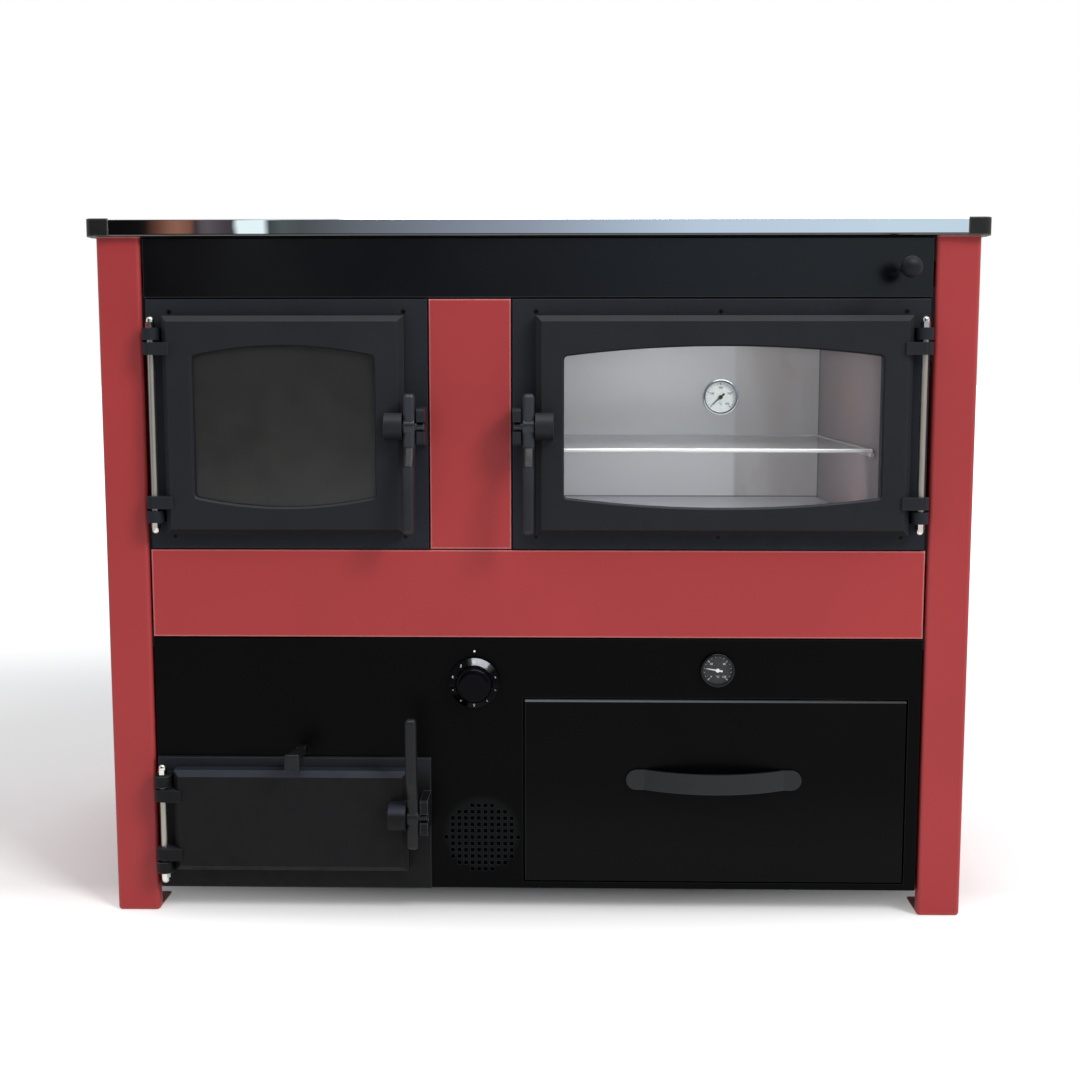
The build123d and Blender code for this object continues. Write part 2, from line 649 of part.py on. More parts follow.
def bevel_window(door, window_x):
    """Bevel the window's edge in the door's front face."""
    x0, x1 = window_x
    reach = WINDOW_RISE + 5
    z0, z1 = WINDOW_Z[0] - reach, WINDOW_Z[1] + reach
    front_edges = edges_at(door, Axis.Y, DOOR_FRONT)
    around = front_edges.filter_by(lambda e: x0 - 1 < e.center().X < x1 + 1 and z0 < e.center().Z < z1)
    return chamfer(around, WINDOW_BEVEL)


def glazed_door(door_x, window_x, hinge_x, side):
    """Door with a window; side is +1 where the handle is at its right edge, else -1."""
    handle_edge, hinge_edge = (door_x[1], door_x[0]) if side > 0 else (door_x[0], door_x[1])
    door = cast_door(door_x, UPPER_DOOR_Z, DOOR_FRONT) - window_cut(window_x)
    door = bevel_window(door, window_x)
    door += door_arms(hinge_x, HINGE_Y, hinge_edge, DOOR_FRONT, UPPER_HINGE_Z)
    door += handle_boss(handle_edge, side, DOOR_FRONT, HANDLE_Z)
    door -= hinge_bore(hinge_x, HINGE_Y, UPPER_HINGE_Z)
    return door - pin_bore(handle_edge, side, DOOR_FRONT - PIN_OUT, HANDLE_Z)


def pin_bore(edge_x, side, y, z):
    """Cutter for the handle pin's bore, right through the boss."""
    x0, x1 = sorted((edge_x - side * (BOSS_L + 4), edge_x + side * 4))
    return rod_x(PIN_R + RUNNING, x0, x1, y, z)


def firebox_door():
    """Door hung on the left, handle on the right."""
    return glazed_door(FIREBOX_DOOR_X, FIREBOX_WINDOW_X, -HINGE_X, 1)


def oven_door():
    """Door hung on the right, handle on the left."""
    return glazed_door(OVEN_DOOR_X, OVEN_WINDOW_X, HINGE_X, -1)


def ash_door():
    """Low solid door over the ash pan."""
    door = cast_door(FIREBOX_DOOR_X, ASH_DOOR_Z, ASH_DOOR_FRONT)
    door += door_arms(-HINGE_X, ASH_HINGE_Y, FIREBOX_DOOR_X[0], ASH_DOOR_FRONT,
                      ASH_HINGE_Z, ASH_HINGE_SHRINK)
    door += handle_boss(FIREBOX_DOOR_X[1], 1, ASH_DOOR_FRONT, ASH_HANDLE_Z)
    door -= hinge_bore(-HINGE_X, ASH_HINGE_Y, ASH_HINGE_Z)
    return door - pin_bore(FIREBOX_DOOR_X[1], 1, ASH_DOOR_FRONT - PIN_OUT, ASH_HANDLE_Z)


GLASS_T = 4
GLASS_MARGIN = 12
GLASS_SLACK = 0.3
GLASS_Y0 = DOOR_FRONT + DOOR_FACE + GLASS_SLACK
GLASS_Y1 = GLASS_Y0 + GLASS_T
PANE_Z = (WINDOW_Z[0] - WINDOW_RISE - GLASS_MARGIN, WINDOW_Z[1] + WINDOW_RISE + GLASS_MARGIN)


def glass_pane(window_x):
    """Flat pane behind the door's front plate."""
    return block(window_x[0] - GLASS_MARGIN, window_x[1] + GLASS_MARGIN, GLASS_Y0, GLASS_Y1, *PANE_Z)


def glass_retainer(window_x):
    """Pressed frame that clamps the pane against the door's front plate."""
    x0, x1 = window_x[0] - GLASS_MARGIN, window_x[1] + GLASS_MARGIN
    y0, thickness, width = GLASS_Y1 + GLASS_SLACK, 2, 10
    return ring_block(x0, x1, y0, y0 + thickness, *PANE_Z, width)


def rope_seal(door_x, door_z, back):
    """Rope pressed into the door's groove, just short of the frame."""
    return seal_ring(door_x, door_z, back - SEAL_DEPTH, back + DOOR_GAP - 0.3, SEAL_W)


def lever_arm(flip):
    """Side view of a lever in (y, z) about its pin; flip -1 turns the cranked arm upwards."""
    bend, bend_h, lean = 24, 22, 3
    arm_front, grip_back = LEVER_BACK - LEVER_T, LEVER_BACK - CRANK
    grip_front = grip_back - LEVER_T
    points = [
        (arm_front, LEVER_UP),
        (arm_front, -bend),
        (grip_front + lean, -bend - bend_h),
        (grip_front, -LEVER_DOWN),
        (grip_back, -LEVER_DOWN),
        (grip_back + lean, -bend - bend_h),
        (LEVER_BACK, -bend),
        (LEVER_BACK, LEVER_UP),
    ]
    return make_face(Polyline(*[(y, flip * z) for y, z in points], close=True))


def lever(edge_x, side, front, z, grip_up=False):
    """Handle: hub on a cross pin, short arm one way, cranked grip the other, all rounded."""
    y = front - PIN_OUT
    flip = -1 if grip_up else 1
    beside, end_r, edge_r, hub_r = 1, 6, 4.5, 1.5
    x0, x1 = sorted((edge_x + side * beside, edge_x + side * (beside + LEVER_W)))
    arm = extrude(Plane.YZ * lever_arm(flip), amount=x1 - x0)
    arm = fillet(arm.edges().filter_by(Axis.X), end_r)
    arm = Pos(x0, y, z) * fillet(arm.edges().filter_by(Axis.X, reverse=True), edge_r)
    hub = rod_x(HUB_R, x0, x1, y, z)
    arm += fillet(hub.edges(), hub_r)
    arm -= rod_x(PIN_R + RUNNING, x0 - 1, x1 + 1, y, z)
    p0, p1 = sorted((edge_x - side * (BOSS_L - 1), edge_x + side * PIN_END))
    pin = rod_x(PIN_R, p0, p1, y, z)
    return group(arm, chamfer(pin.edges(), 0.8))


def firebox_handle():
    """Lever at the firebox door's right edge, grip down."""
    return lever(FIREBOX_DOOR_X[1], 1, DOOR_FRONT, HANDLE_Z)


def oven_handle():
    """Lever at the oven door's left edge, grip down."""
    return lever(OVEN_DOOR_X[0], -1, DOOR_FRONT, HANDLE_Z)


def ash_handle():
    """Lever at the ash door's right edge, grip up."""
    return lever(FIREBOX_DOOR_X[1], 1, ASH_DOOR_FRONT, ASH_HANDLE_Z, grip_up=True)


# ---------------------------------------------------------------- gauges
GAUGE_RECESS = 4
BEZEL_W = 3
NEEDLE_IN = 2.2                # needle's front behind the bezel's front
OVEN_GAUGE_SEAT = GLASS_Y0 - GLASS_SLACK
OVEN_GAUGE_FACE = OVEN_GAUGE_SEAT - 9
OVEN_STEM_L = 30
BOILER_GAUGE_FACE = FRONT - 6
BOILER_GAUGE_REAR = FRONT + 32


def gauge_case(x, z, face, seat, rear, body_r):
    """Round instrument case: bezel, recessed dial floor, body behind the seat."""
    bezel = rod_y(GAUGE_R, x, face, seat, z)
    bezel = fillet(edges_at(bezel, Axis.Y, face), 1.5)
    recess = rod_y(GAUGE_R - BEZEL_W, x, face - 1, face + GAUGE_RECESS, z)
    return bezel - recess + rod_y(body_r, x, seat - 0.5, rear, z)


def needle(x, z, y, angle):
    """Flat pointer with a round hub; angle is measured from +X towards +Z."""
    length, tail, tip, wide, hub_r = 14, 6, 0.3, 1.1, 2.4
    outline = Polyline((-tail, -wide), (-tail, wide), (length, tip), (length, -tip), close=True)
    blade = Rot(0, 0, angle) * make_face(outline)
    return prism_y(Pos(x, z) * blade, y, y + 0.8) + rod_y(hub_r, x, y - 0.2, y + 1, z)


def oven_thermometer():
    """Dial on the oven glass; its stem passes through a hole in the pane."""
    rear = OVEN_GAUGE_SEAT + OVEN_STEM_L
    return gauge_case(OVEN_GAUGE_X, OVEN_GAUGE_Z, OVEN_GAUGE_FACE, OVEN_GAUGE_SEAT, rear, GAUGE_STEM_R)


def oven_glass():
    """Oven pane with the hole for the thermometer's stem."""
    hole = rod_y(GAUGE_STEM_R + 0.4, OVEN_GAUGE_X, GLASS_Y0 - 1, GLASS_Y1 + 1, OVEN_GAUGE_Z)
    return glass_pane(OVEN_WINDOW_X) - hole


def boiler_thermometer():
    """Water temperature dial set in the lower panel."""
    face, seat, rear = BOILER_GAUGE_FACE, FRONT - 0.2, BOILER_GAUGE_REAR
    return gauge_case(BOILER_GAUGE_X, BOILER_GAUGE_Z, face, seat, rear, GAUGE_BODY_R)


def oven_thermometer_needle():
    """Pointer of the oven dial, low on the left."""
    return needle(OVEN_GAUGE_X, OVEN_GAUGE_Z, OVEN_GAUGE_FACE + NEEDLE_IN, 222)


def boiler_thermometer_needle():
    """Pointer of the water dial, nearly level to the left."""
    return needle(BOILER_GAUGE_X, BOILER_GAUGE_Z, BOILER_GAUGE_FACE + NEEDLE_IN, 170)


# ---------------------------------------------------------------- fire side
def water_jacket():
    """Double-walled U round the fire: left, rear and right walls with a water space."""
    solid = jacket_walls(0) - jacket_walls(JACKET_PLATE)
    for z in (SOCKET_LOW_Z, SOCKET_HIGH_Z):
        solid -= rod_y(SOCKET_PIPE_R, SOCKET_X, JACKET_Y1 - JACKET_PLATE - 1, JACKET_Y1 + 1, z)
    return solid


def jacket_walls(shrink):
    """Three upright walls round the fire, shrunk all round for the water space."""
    (x0, x1), (y0, y1), z0 = JACKET_X, (BAR_BACK, JACKET_Y1), JACKET_Z0 + shrink
    high, low = POST_TOP - shrink, JACKET_RIGHT_TOP - shrink
    w, s = JACKET_WALL, shrink
    left = block(x0 + s, x0 + w - s, y0 + s, y1 - s, z0, high)
    rear = block(x0 + s, x1 - s, y1 - w + s, y1 - s, z0, high)
    return left + rear + block(x1 - w + s, x1 - s, y0 + s, y1 - s, z0, low)


def water_socket(z):
    """Threaded pipe socket between the jacket's rear wall and the outside."""
    mouth = REAR + SOCKET_REACH
    tube = rod_y(SOCKET_R, SOCKET_X, JACKET_Y1, mouth, z)
    tube = fillet(edges_at(tube, Axis.Y, mouth), EDGE_R)
    tube -= rod_y(SOCKET_PIPE_R, SOCKET_X, JACKET_Y1 - 1, mouth, z)
    return tube - rod_y(SOCKET_BORE_R, SOCKET_X, mouth - SOCKET_THREAD_L, mouth + 1, z)


def water_sockets():
    """Return socket below, flow socket above."""
    return group(water_socket(SOCKET_LOW_Z), water_socket(SOCKET_HIGH_Z))


FIRE_X0 = JACKET_X[0] + JACKET_WALL
FIRE_X1 = JACKET_X[1] - JACKET_WALL
FIRE_BACK = JACKET_Y1 - JACKET_WALL
GRATE_X = (SHAKER_X - 100, SHAKER_X + 100)
GRATE_Y = (-200, 110)
GRATE_T = 15
GRATE_TRAVEL = 20
BED_Z = 200
BED_T = 9


def firebricks():
    """Front wall of the fire below the door, and low bricks beside and behind the grate."""
    s, brick_t, low_brick_h = 0.5, 21.5, 42
    front0, front1 = BAR_BACK + s, BAR_BACK + s + brick_t
    wall_bottom, wall_joint, wall_top = BED_Z + 26, 354, FIREBOX_OPENING[2] - 14
    mid = (FIRE_X0 + FIRE_X1) / 2
    bricks = []
    for z0, z1 in ((wall_bottom, wall_joint), (wall_joint + s, wall_top)):
        bricks.append(block(FIRE_X0 + s, mid - s / 2, front0, front1, z0, z1))
        bricks.append(block(mid + s / 2, FIRE_X1 - s, front0, front1, z0, z1))
    y0, y1 = GRATE_Y[0] - GRATE_TRAVEL - 4, FIRE_BACK - s
    z0, z1 = BED_Z + SEAT, BED_Z + low_brick_h
    beside = 2
    bricks.append(block(FIRE_X0 + s, GRATE_X[0] - beside, y0, y1, z0, z1))
    bricks.append(block(GRATE_X[1] + beside, FIRE_X1 - s, y0, y1, z0, z1))
    bricks.append(block(GRATE_X[0] - 1.5, GRATE_X[1] + 1.5, GRATE_Y[1] + 2 * beside, y1, z0, z1))
    return group(*[chamfer(brick.edges(), 1) for brick in bricks])


def grate_bed():
    """Cast shelf across the jacket that carries the grate and the bricks."""
    side_ledge, front_ledge, rear_ledge = 12, 10, 30
    bed = block(FIRE_X0 + SEAT, FIRE_X1 - SEAT, BAR_BACK, FIRE_BACK - SEAT, BED_Z - BED_T, BED_Z)
    x0, x1 = GRATE_X[0] + side_ledge, GRATE_X[1] - side_ledge
    y0, y1 = GRATE_Y[0] + front_ledge, GRATE_Y[1] - rear_ledge
    return bed - block(x0, x1, y0, y1, BED_Z - BED_T - 1, BED_Z + 1)


def grate():
    """Shaking grate with long slots."""
    plate = block(*GRATE_X, *GRATE_Y, BED_Z + SEAT, BED_Z + GRATE_T)
    slots, side_rim, front_rim, rear_rim, half_slot = 9, 10, 18, 38, 5
    pitch = (GRATE_X[1] - GRATE_X[0] - 2 * side_rim) / slots
    for i in range(slots):
        x = GRATE_X[0] + side_rim + (i + 0.5) * pitch
        y0, y1 = GRATE_Y[0] + front_rim, GRATE_Y[1] - rear_rim
        plate -= block(x - half_slot, x + half_slot, y0, y1, BED_Z, BED_Z + GRATE_T + 1)
    return plate


def shaker_bar():
    """Pull bar of the grate; its grip swells towards a rounded front end."""
    bar_w, bar_h, grip_w, grip_h, tip_r = 10, 8, 19, 23, 6
    grip_back = FRONT - 9
    x, z = SHAKER_X, SHAKER_Z
    bar = block(x - bar_w / 2, x + bar_w / 2, grip_back - 1, GRATE_Y[0], z - bar_h / 2, z + bar_h / 2)
    wide = Plane((x, FURTHEST_FRONT, z), x_dir=(1, 0, 0), z_dir=(0, 1, 0)) * Rectangle(grip_w, grip_h)
    thin = Plane((x, grip_back, z), x_dir=(1, 0, 0), z_dir=(0, 1, 0)) * Rectangle(bar_w, bar_h)
    grip = loft([wide, thin])
    front_edges = edges_at(grip, Axis.Y, FURTHEST_FRONT)
    long_edges = grip.edges().filter_by(lambda e: e.length > grip_w * 2)
    return bar + fillet(front_edges + long_edges, tip_r / 2)


def ash_box():
    """Sheet trough under the grate that guides the ash pan."""
    outside, sheet = 5, 2
    x0, x1 = ASH_OPENING[0] - outside, ASH_OPENING[1] + outside
    z0, z1 = ASH_OPENING[2] - 3, JACKET_Z0 - SEAT
    trough = block(x0, x1, BAR_BACK, FIRE_BACK, z0, z1)
    return trough - block(x0 + sheet, x1 - sheet, BAR_BACK - 1, FIRE_BACK - sheet, z0 + sheet, z1 + 1)


def ash_pan():
    """Lift-out pan with a folded pull at the front."""
    x0, x1 = ASH_OPENING[0] + 6, ASH_OPENING[1] - 6
    y0, z0 = BAR_BACK + 12, ASH_OPENING[2] + 1
    pan_h, pull_z, pull_out, pull_h, pull_t, from_side = 60, 42, 10, 12, 2, 80
    pan = open_box(x0, x1, y0, FIRE_BACK - 12, z0, z0 + pan_h)
    p0, p1 = x0 + from_side, x1 - from_side
    pull = block(p0, p1, y0 - pull_out, y0 + 1, z0 + pull_z - pull_t, z0 + pull_z)
    lip = block(p0, p1, y0 - pull_out, y0 - pull_out + pull_t, z0 + pull_z - pull_h, z0 + pull_z)
    return pan + pull + lip


# ---------------------------------------------------------------- oven side
def oven_liner():
    """Polished sheet oven: open in front, with a pressed runner on each side for the shelf."""
    t = SHEET
    (x0, x1), (z0, z1) = OVEN_X, OVEN_Z
    liner = block(x0 - t, x1 + t, BAR_BACK, OVEN_BACK + t, z0 - t, z1 + t)
    liner -= block(x0, x1, BAR_BACK - 1, OVEN_BACK, z0, z1)
    y0, y1 = BAR_BACK + 15, OVEN_BACK - 10
    runner_z = SHELF_Z - SHELF_RIM_R - SEAT
    for near, far in ((x0 - t / 3, x0 + RUNNER_W), (x1 - RUNNER_W, x1 + t / 3)):
        liner += block(near, far, y0, y1, runner_z - RUNNER_H, runner_z)
    return liner


def oven_shelf():
    """Lift-out polished sheet shelf with a rolled rim all round."""
    x0, x1 = OVEN_X[0] + 3, OVEN_X[1] - 3
    y0, y1 = BAR_BACK + 22, OVEN_BACK - 10
    r, half_sheet = SHELF_RIM_R, SHEET / 2
    rim = block(x0, x1, y0, y1, SHELF_Z - r, SHELF_Z + r)
    rim -= block(x0 + 2 * r, x1 - 2 * r, y0 + 2 * r, y1 - 2 * r, SHELF_Z - r - 1, SHELF_Z + r + 1)
    rim = fillet(rim.edges().filter_by(Axis.Z, reverse=True), r - 0.5)
    return rim + block(x0 + r, x1 - r, y0 + r, y1 - r, SHELF_Z - half_sheet, SHELF_Z + half_sheet)


def bypass(x_grow, z_grow, y0, y1):
    """Block over the smoke by-pass: the hole itself, or grown to the flap that covers it."""
    half_w, below, above = 30, 34, 26
    return block(DAMPER_X - half_w - x_grow, DAMPER_X + half_w + x_grow, y0, y1,
                 DAMPER_Z - below - z_grow, DAMPER_Z + above + z_grow)


def smoke_baffle():
    """Plate behind the oven with the by-pass hole that the damper covers."""
    y0 = OVEN_BACK + 10
    x0, x1 = JACKET_X[1] + 1, INNER_SIDE - 5
    plate = block(x0, x1, y0, y0 + BAFFLE_T, OVEN_Z[1] + 4, HOB_Z0 - 0.5)
    return plate - bypass(0, 0, y0 - 1, y0 + BAFFLE_T + 1)


def damper_rod():
    """Long rod with the damper flap at its rear end."""
    flap_y = OVEN_BACK + 6.5
    rod = rod_y(ROD_R, DAMPER_X, FURTHEST_FRONT + DAMPER_BALL_R, flap_y, DAMPER_Z)
    return rod + bypass(6, 8, flap_y, flap_y + BAFFLE_T)


def damper_knob():
    """Ball knob with a flat seat, bored for the rod."""
    r, seat_cut = DAMPER_BALL_R, 1.2
    centre = FURTHEST_FRONT + r
    ball = Pos(DAMPER_X, centre, DAMPER_Z) * Sphere(r)
    ball -= rod_y(r, DAMPER_X, centre + r - seat_cut, centre + r + 1, DAMPER_Z)
    return ball - rod_y(ROD_R + RUNNING, DAMPER_X, centre - RUNNING, centre + r, DAMPER_Z)


def flue_collar():
    """Round spigot for the stove pipe, with a flange on the rear panel."""
    inside, flange_w, flange_t = 16, 22, 3
    y0 = REAR_SHEET_BACK + 0.2
    tube = rod_y(FLUE_R, FLUE_X, REAR_SHEET_BACK - inside, FURTHEST_BACK, FLUE_Z)
    flange = rod_y(FLUE_R + flange_w, FLUE_X, y0, y0 + flange_t, FLUE_Z)
    half = FLUE_R + flange_w + 1
    flange &= block(FLUE_X - half, FLUE_X + half, y0, y0 + flange_t, FLUE_Z - half, POST_TOP - 2)
    bore = rod_y(FLUE_R - FLUE_WALL, FLUE_X, REAR_SHEET_BACK - inside - 1, FURTHEST_BACK + 1, FLUE_Z)
    return tube + flange - bore


# ---------------------------------------------------------------- lower right: drawer
DRAWER_BOX_X = (DRAWER_X[0] + 6, DRAWER_X[1] - 6)
DRAWER_BOX_Z = (DRAWER_Z[0] + 3.5, DRAWER_Z[1] - 14)
DRAWER_FRONT_Y = FRONT - 3
DRAWER_FRONT_T = 18


def drawer_front():
    """Folded sheet front, standing a little proud of the panel round it."""
    return folded_panel(*DRAWER_X, *DRAWER_Z, DRAWER_FRONT_Y, DRAWER_FRONT_T)


def drawer_box():
    """Open wood box behind the drawer's front."""
    start = DRAWER_FRONT_Y + DRAWER_FRONT_T
    return open_box(*DRAWER_BOX_X, start, start + DRAWER_DEPTH, *DRAWER_BOX_Z)


def drawer_handle():
    """Flat bar bowed outwards between two flat ends, with rounded tips."""
    x0, x1 = DRAWER_HANDLE_X
    pad, t = 22, 4.5
    a0, a1 = x0 + pad, x1 - pad
    y_face, y_far = DRAWER_FRONT_Y, DRAWER_FRONT_Y - DRAWER_HANDLE_BOW - t
    middle = (x0 + x1) / 2
    outline = [
        Line((x0, y_face), (x0, y_face - t)),
        Line((x0, y_face - t), (a0, y_face - t)),
        ThreePointArc((a0, y_face - t), (middle, y_far), (a1, y_face - t)),
        Line((a1, y_face - t), (x1, y_face - t)),
        Line((x1, y_face - t), (x1, y_face)),
        Line((x1, y_face), (a1, y_face)),
        ThreePointArc((a1, y_face), (middle, y_far + t), (a0, y_face)),
        Line((a0, y_face), (x0, y_face)),
    ]
    bar = extrude(make_face(outline), amount=DRAWER_HANDLE_H)
    bar = Pos(0, 0, DRAWER_HANDLE_Z - DRAWER_HANDLE_H / 2) * bar
    tips = Pos(middle, DRAWER_HANDLE_Z) * SlotOverall(x1 - x0, DRAWER_HANDLE_H)
    return bar & prism_y(tips, y_far - 1, y_face + 1)


def drawer_housing():
    """Two upright sheets beside the drawer, each with a runner under the box."""
    beside, sheet, runner_w, runner_short = 7, 2, 22, 100
    y0, y1 = BAR_BACK, REAR_SHEET_FRONT - BAR_T
    z0, z1 = UNDERSIDE_Z + sheet, 333
    runner_z = DRAWER_BOX_Z[0] - SEAT
    walls = []
    for side, box_x in ((-1, DRAWER_BOX_X[0]), (1, DRAWER_BOX_X[1])):
        wall_x = box_x + side * beside
        w0, w1 = sorted((wall_x, wall_x + side * sheet))
        r0, r1 = sorted((wall_x, wall_x - side * runner_w))
        runner = block(r0, r1, y0, y1 - runner_short, runner_z - sheet, runner_z)
        walls.append(block(w0, w1, y0, y1, z0, z1) + runner)
    return group(*walls)


# ---------------------------------------------------------------- draught control
STEM_OUT = 16                  # regulator stem in front of the panel


def thermostat_body():
    """Grooved regulator behind the panel with the stem that carries the knob."""
    r, length, groove_y, groove_w, groove_depth = 22, 62, 20, 6, 2
    y0 = PANEL_BACK + SEAT
    body = rod_y(r, KNOB_X, y0, y0 + length, KNOB_Z)
    g0, g1 = y0 + groove_y, y0 + groove_y + groove_w
    body -= rod_y(r + 1, KNOB_X, g0, g1, KNOB_Z) - rod_y(r - groove_depth, KNOB_X, g0, g1, KNOB_Z)
    return body + rod_y(PIN_R, KNOB_X, FRONT - STEM_OUT, y0 + 1, KNOB_Z)


def thermostat_knob():
    """Skirted dome knob, bored for the stem."""
    skirt_t, depth, dome_r, round_r = 6, 24, KNOB_R - 8, 9
    back = FRONT - 0.6
    skirt = rod_y(KNOB_R, KNOB_X, back - skirt_t, back, KNOB_Z)
    skirt = fillet(edges_at(skirt, Axis.Y, back - skirt_t), 2)
    dome = rod_y(dome_r, KNOB_X, back - depth, back - 1, KNOB_Z)
    dome = fillet(edges_at(dome, Axis.Y, back - depth), round_r)
    return skirt + dome - rod_y(PIN_R + RUNNING, KNOB_X, FRONT - STEM_OUT - 1, back + 1, KNOB_Z)


FLAP_X = (VENT_X - 50, VENT_X + 49.5)
FLAP_HALF_H = 50
FLAP_PIN_R = 2.5
FLAP_PIN_Z = VENT_Z + FLAP_HALF_H + 6
FLAP_SEAT = (PANEL_BACK + 0.2, PANEL_BACK + 10)
FLAP_PIN_Y = FLAP_SEAT[1] + 5


def air_duct():
    """Seat behind the vent, with the pin that the air flap hangs from."""
    wall, ear = 2, 4
    (x0, x1), (y0, y1) = FLAP_X, FLAP_SEAT
    seat = ring_block(x0, x1, y0, y1, VENT_Z - FLAP_HALF_H, VENT_Z + FLAP_HALF_H, wall)
    for x in (x0, x1 - ear):
        seat += block(x, x + ear, y0, FLAP_PIN_Y + ear, VENT_Z + FLAP_HALF_H - wall, FLAP_PIN_Z + 5)
    return seat + rod_x(FLAP_PIN_R, x0, x1, FLAP_PIN_Y, FLAP_PIN_Z)


def air_flap():
    """Plate that hangs over the seat from a rolled eye."""
    inset, eye_r, sheet = 6, 5, 2
    x0, x1 = FLAP_X[0] + inset, FLAP_X[1] - inset
    y0 = FLAP_PIN_Y - 4.6
    eye = rod_x(eye_r, x0, x1, FLAP_PIN_Y, FLAP_PIN_Z)
    plate = block(x0, x1, y0, y0 + sheet, VENT_Z - FLAP_HALF_H + 1, FLAP_PIN_Z)
    return eye + plate - rod_x(FLAP_PIN_R + RUNNING, x0 - 1, x1 + 1, FLAP_PIN_Y, FLAP_PIN_Z)


# ---------------------------------------------------------------- write the parts
def rope_seals():
    """Seals of the three doors, by node name."""
    return {
        "firebox_gasket": rope_seal(FIREBOX_DOOR_X, UPPER_DOOR_Z, DOOR_BACK),
        "oven_gasket": rope_seal(OVEN_DOOR_X, UPPER_DOOR_Z, DOOR_BACK),
        "ash_gasket": rope_seal(FIREBOX_DOOR_X, ASH_DOOR_Z, ASH_DOOR_BACK),
    }


def stove():
    """Every node of the stove, by name."""
    makers = [
        front_posts, rear_posts, side_panels, rear_panel, base_panel, carcass_bars,
        upper_fascia, centre_strip, middle_band, lower_front_panel,
        top_rails, top_corners, hob_plate, hob_ring, hob_lid,
        firebox_frame, oven_frame, ash_frame, frame_screws, hinge_rods, hinge_nuts,
        firebox_door, firebox_handle, oven_door, oven_glass, oven_handle, ash_door, ash_handle,
        oven_thermometer, oven_thermometer_needle, boiler_thermometer, boiler_thermometer_needle,
        water_jacket, water_sockets, firebricks, grate_bed, grate, shaker_bar, ash_box, ash_pan,
        oven_liner, oven_shelf, smoke_baffle, damper_rod, damper_knob, flue_collar,
        drawer_front, drawer_box, drawer_handle, drawer_housing,
        thermostat_body, thermostat_knob, air_duct, air_flap,
    ]
    nodes = {maker.__name__: maker() for maker in makers}
    nodes["firebox_glass"] = glass_pane(FIREBOX_WINDOW_X)
    nodes["firebox_glass_retainer"] = glass_retainer(FIREBOX_WINDOW_X)
    nodes["oven_glass_retainer"] = glass_retainer(OVEN_WINDOW_X)
    nodes.update(rope_seals())
    return nodes


os.makedirs("parts", exist_ok=True)
for name, shape in stove().items():
    export_step(shape, f"parts/{name}.step")
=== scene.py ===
import bpy
import bmesh
from math import cos, pi, radians, sin
from mathutils import Matrix, Vector


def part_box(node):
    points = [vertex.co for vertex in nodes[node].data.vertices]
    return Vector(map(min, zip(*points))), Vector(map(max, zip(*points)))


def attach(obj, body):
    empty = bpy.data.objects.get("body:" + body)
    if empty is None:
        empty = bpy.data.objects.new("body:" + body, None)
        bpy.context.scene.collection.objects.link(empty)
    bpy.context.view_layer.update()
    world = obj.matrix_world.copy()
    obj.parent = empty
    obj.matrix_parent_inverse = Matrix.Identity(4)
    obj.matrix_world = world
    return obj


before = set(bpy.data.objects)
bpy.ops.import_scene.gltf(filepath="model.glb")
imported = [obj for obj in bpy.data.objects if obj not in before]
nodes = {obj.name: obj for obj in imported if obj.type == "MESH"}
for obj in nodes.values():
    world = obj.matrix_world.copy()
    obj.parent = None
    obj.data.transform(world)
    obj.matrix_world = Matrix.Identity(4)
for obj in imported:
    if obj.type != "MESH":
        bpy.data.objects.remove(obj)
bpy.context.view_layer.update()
scene = bpy.context.scene


# ------------------------------------------------------------------ small helpers
SHARP_FROM = radians(40)      # edges sharper than this stay sharp on smooth pieces


def middle(node):
    """Middle of a CAD node's box."""
    low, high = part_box(node)
    return (low + high) / 2


def finish_piece(name, bm, body, mat, smooth=False):
    """Turn a bmesh into a piece that rides on a CAD body."""
    mesh = bpy.data.meshes.new(name)
    bmesh.ops.recalc_face_normals(bm, faces=bm.faces)
    bm.to_mesh(mesh)
    bm.free()
    for polygon in mesh.polygons:
        polygon.use_smooth = smooth
    piece = bpy.data.objects.new(name, mesh)
    scene.collection.objects.link(piece)
    piece.data.materials.append(mat)
    if smooth:
        piece.modifiers.new("corners", "EDGE_SPLIT").split_angle = SHARP_FROM
    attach(piece, body)


def lathe(bm, profile, centre, steps=48):
    """Turn (radius, y) points round the Y axis through a centre."""
    rings = []
    for radius, y in profile:
        if radius < 1e-6:
            rings.append([bm.verts.new((centre.x, y, centre.z))])
            continue
        ring = []
        for i in range(steps):
            a = 2 * pi * i / steps
            ring.append(bm.verts.new((centre.x + radius * cos(a), y, centre.z + radius * sin(a))))
        rings.append(ring)
    for one, two in zip(rings, rings[1:]):
        for i in range(steps):
            j = (i + 1) % steps
            corners = [one[i % len(one)], one[j % len(one)], two[j % len(two)], two[i % len(two)]]
            unique = list(dict.fromkeys(corners))
            if len(unique) > 2:
                bm.faces.new(unique)


def bar_mark(bm, centre, angle, r0, r1, width, y):
    """Flat radial stroke on a dial; the angle runs from +X towards +Z."""
    along = Vector((cos(angle), 0, sin(angle)))
    across = Vector((-sin(angle), 0, cos(angle))) * (width / 2)
    base = Vector((centre.x, y, centre.z))
    points = [base + along * r0 - across, base + along * r1 - across,
              base + along * r1 + across, base + along * r0 + across]
    bm.faces.new([bm.verts.new(p) for p in points])


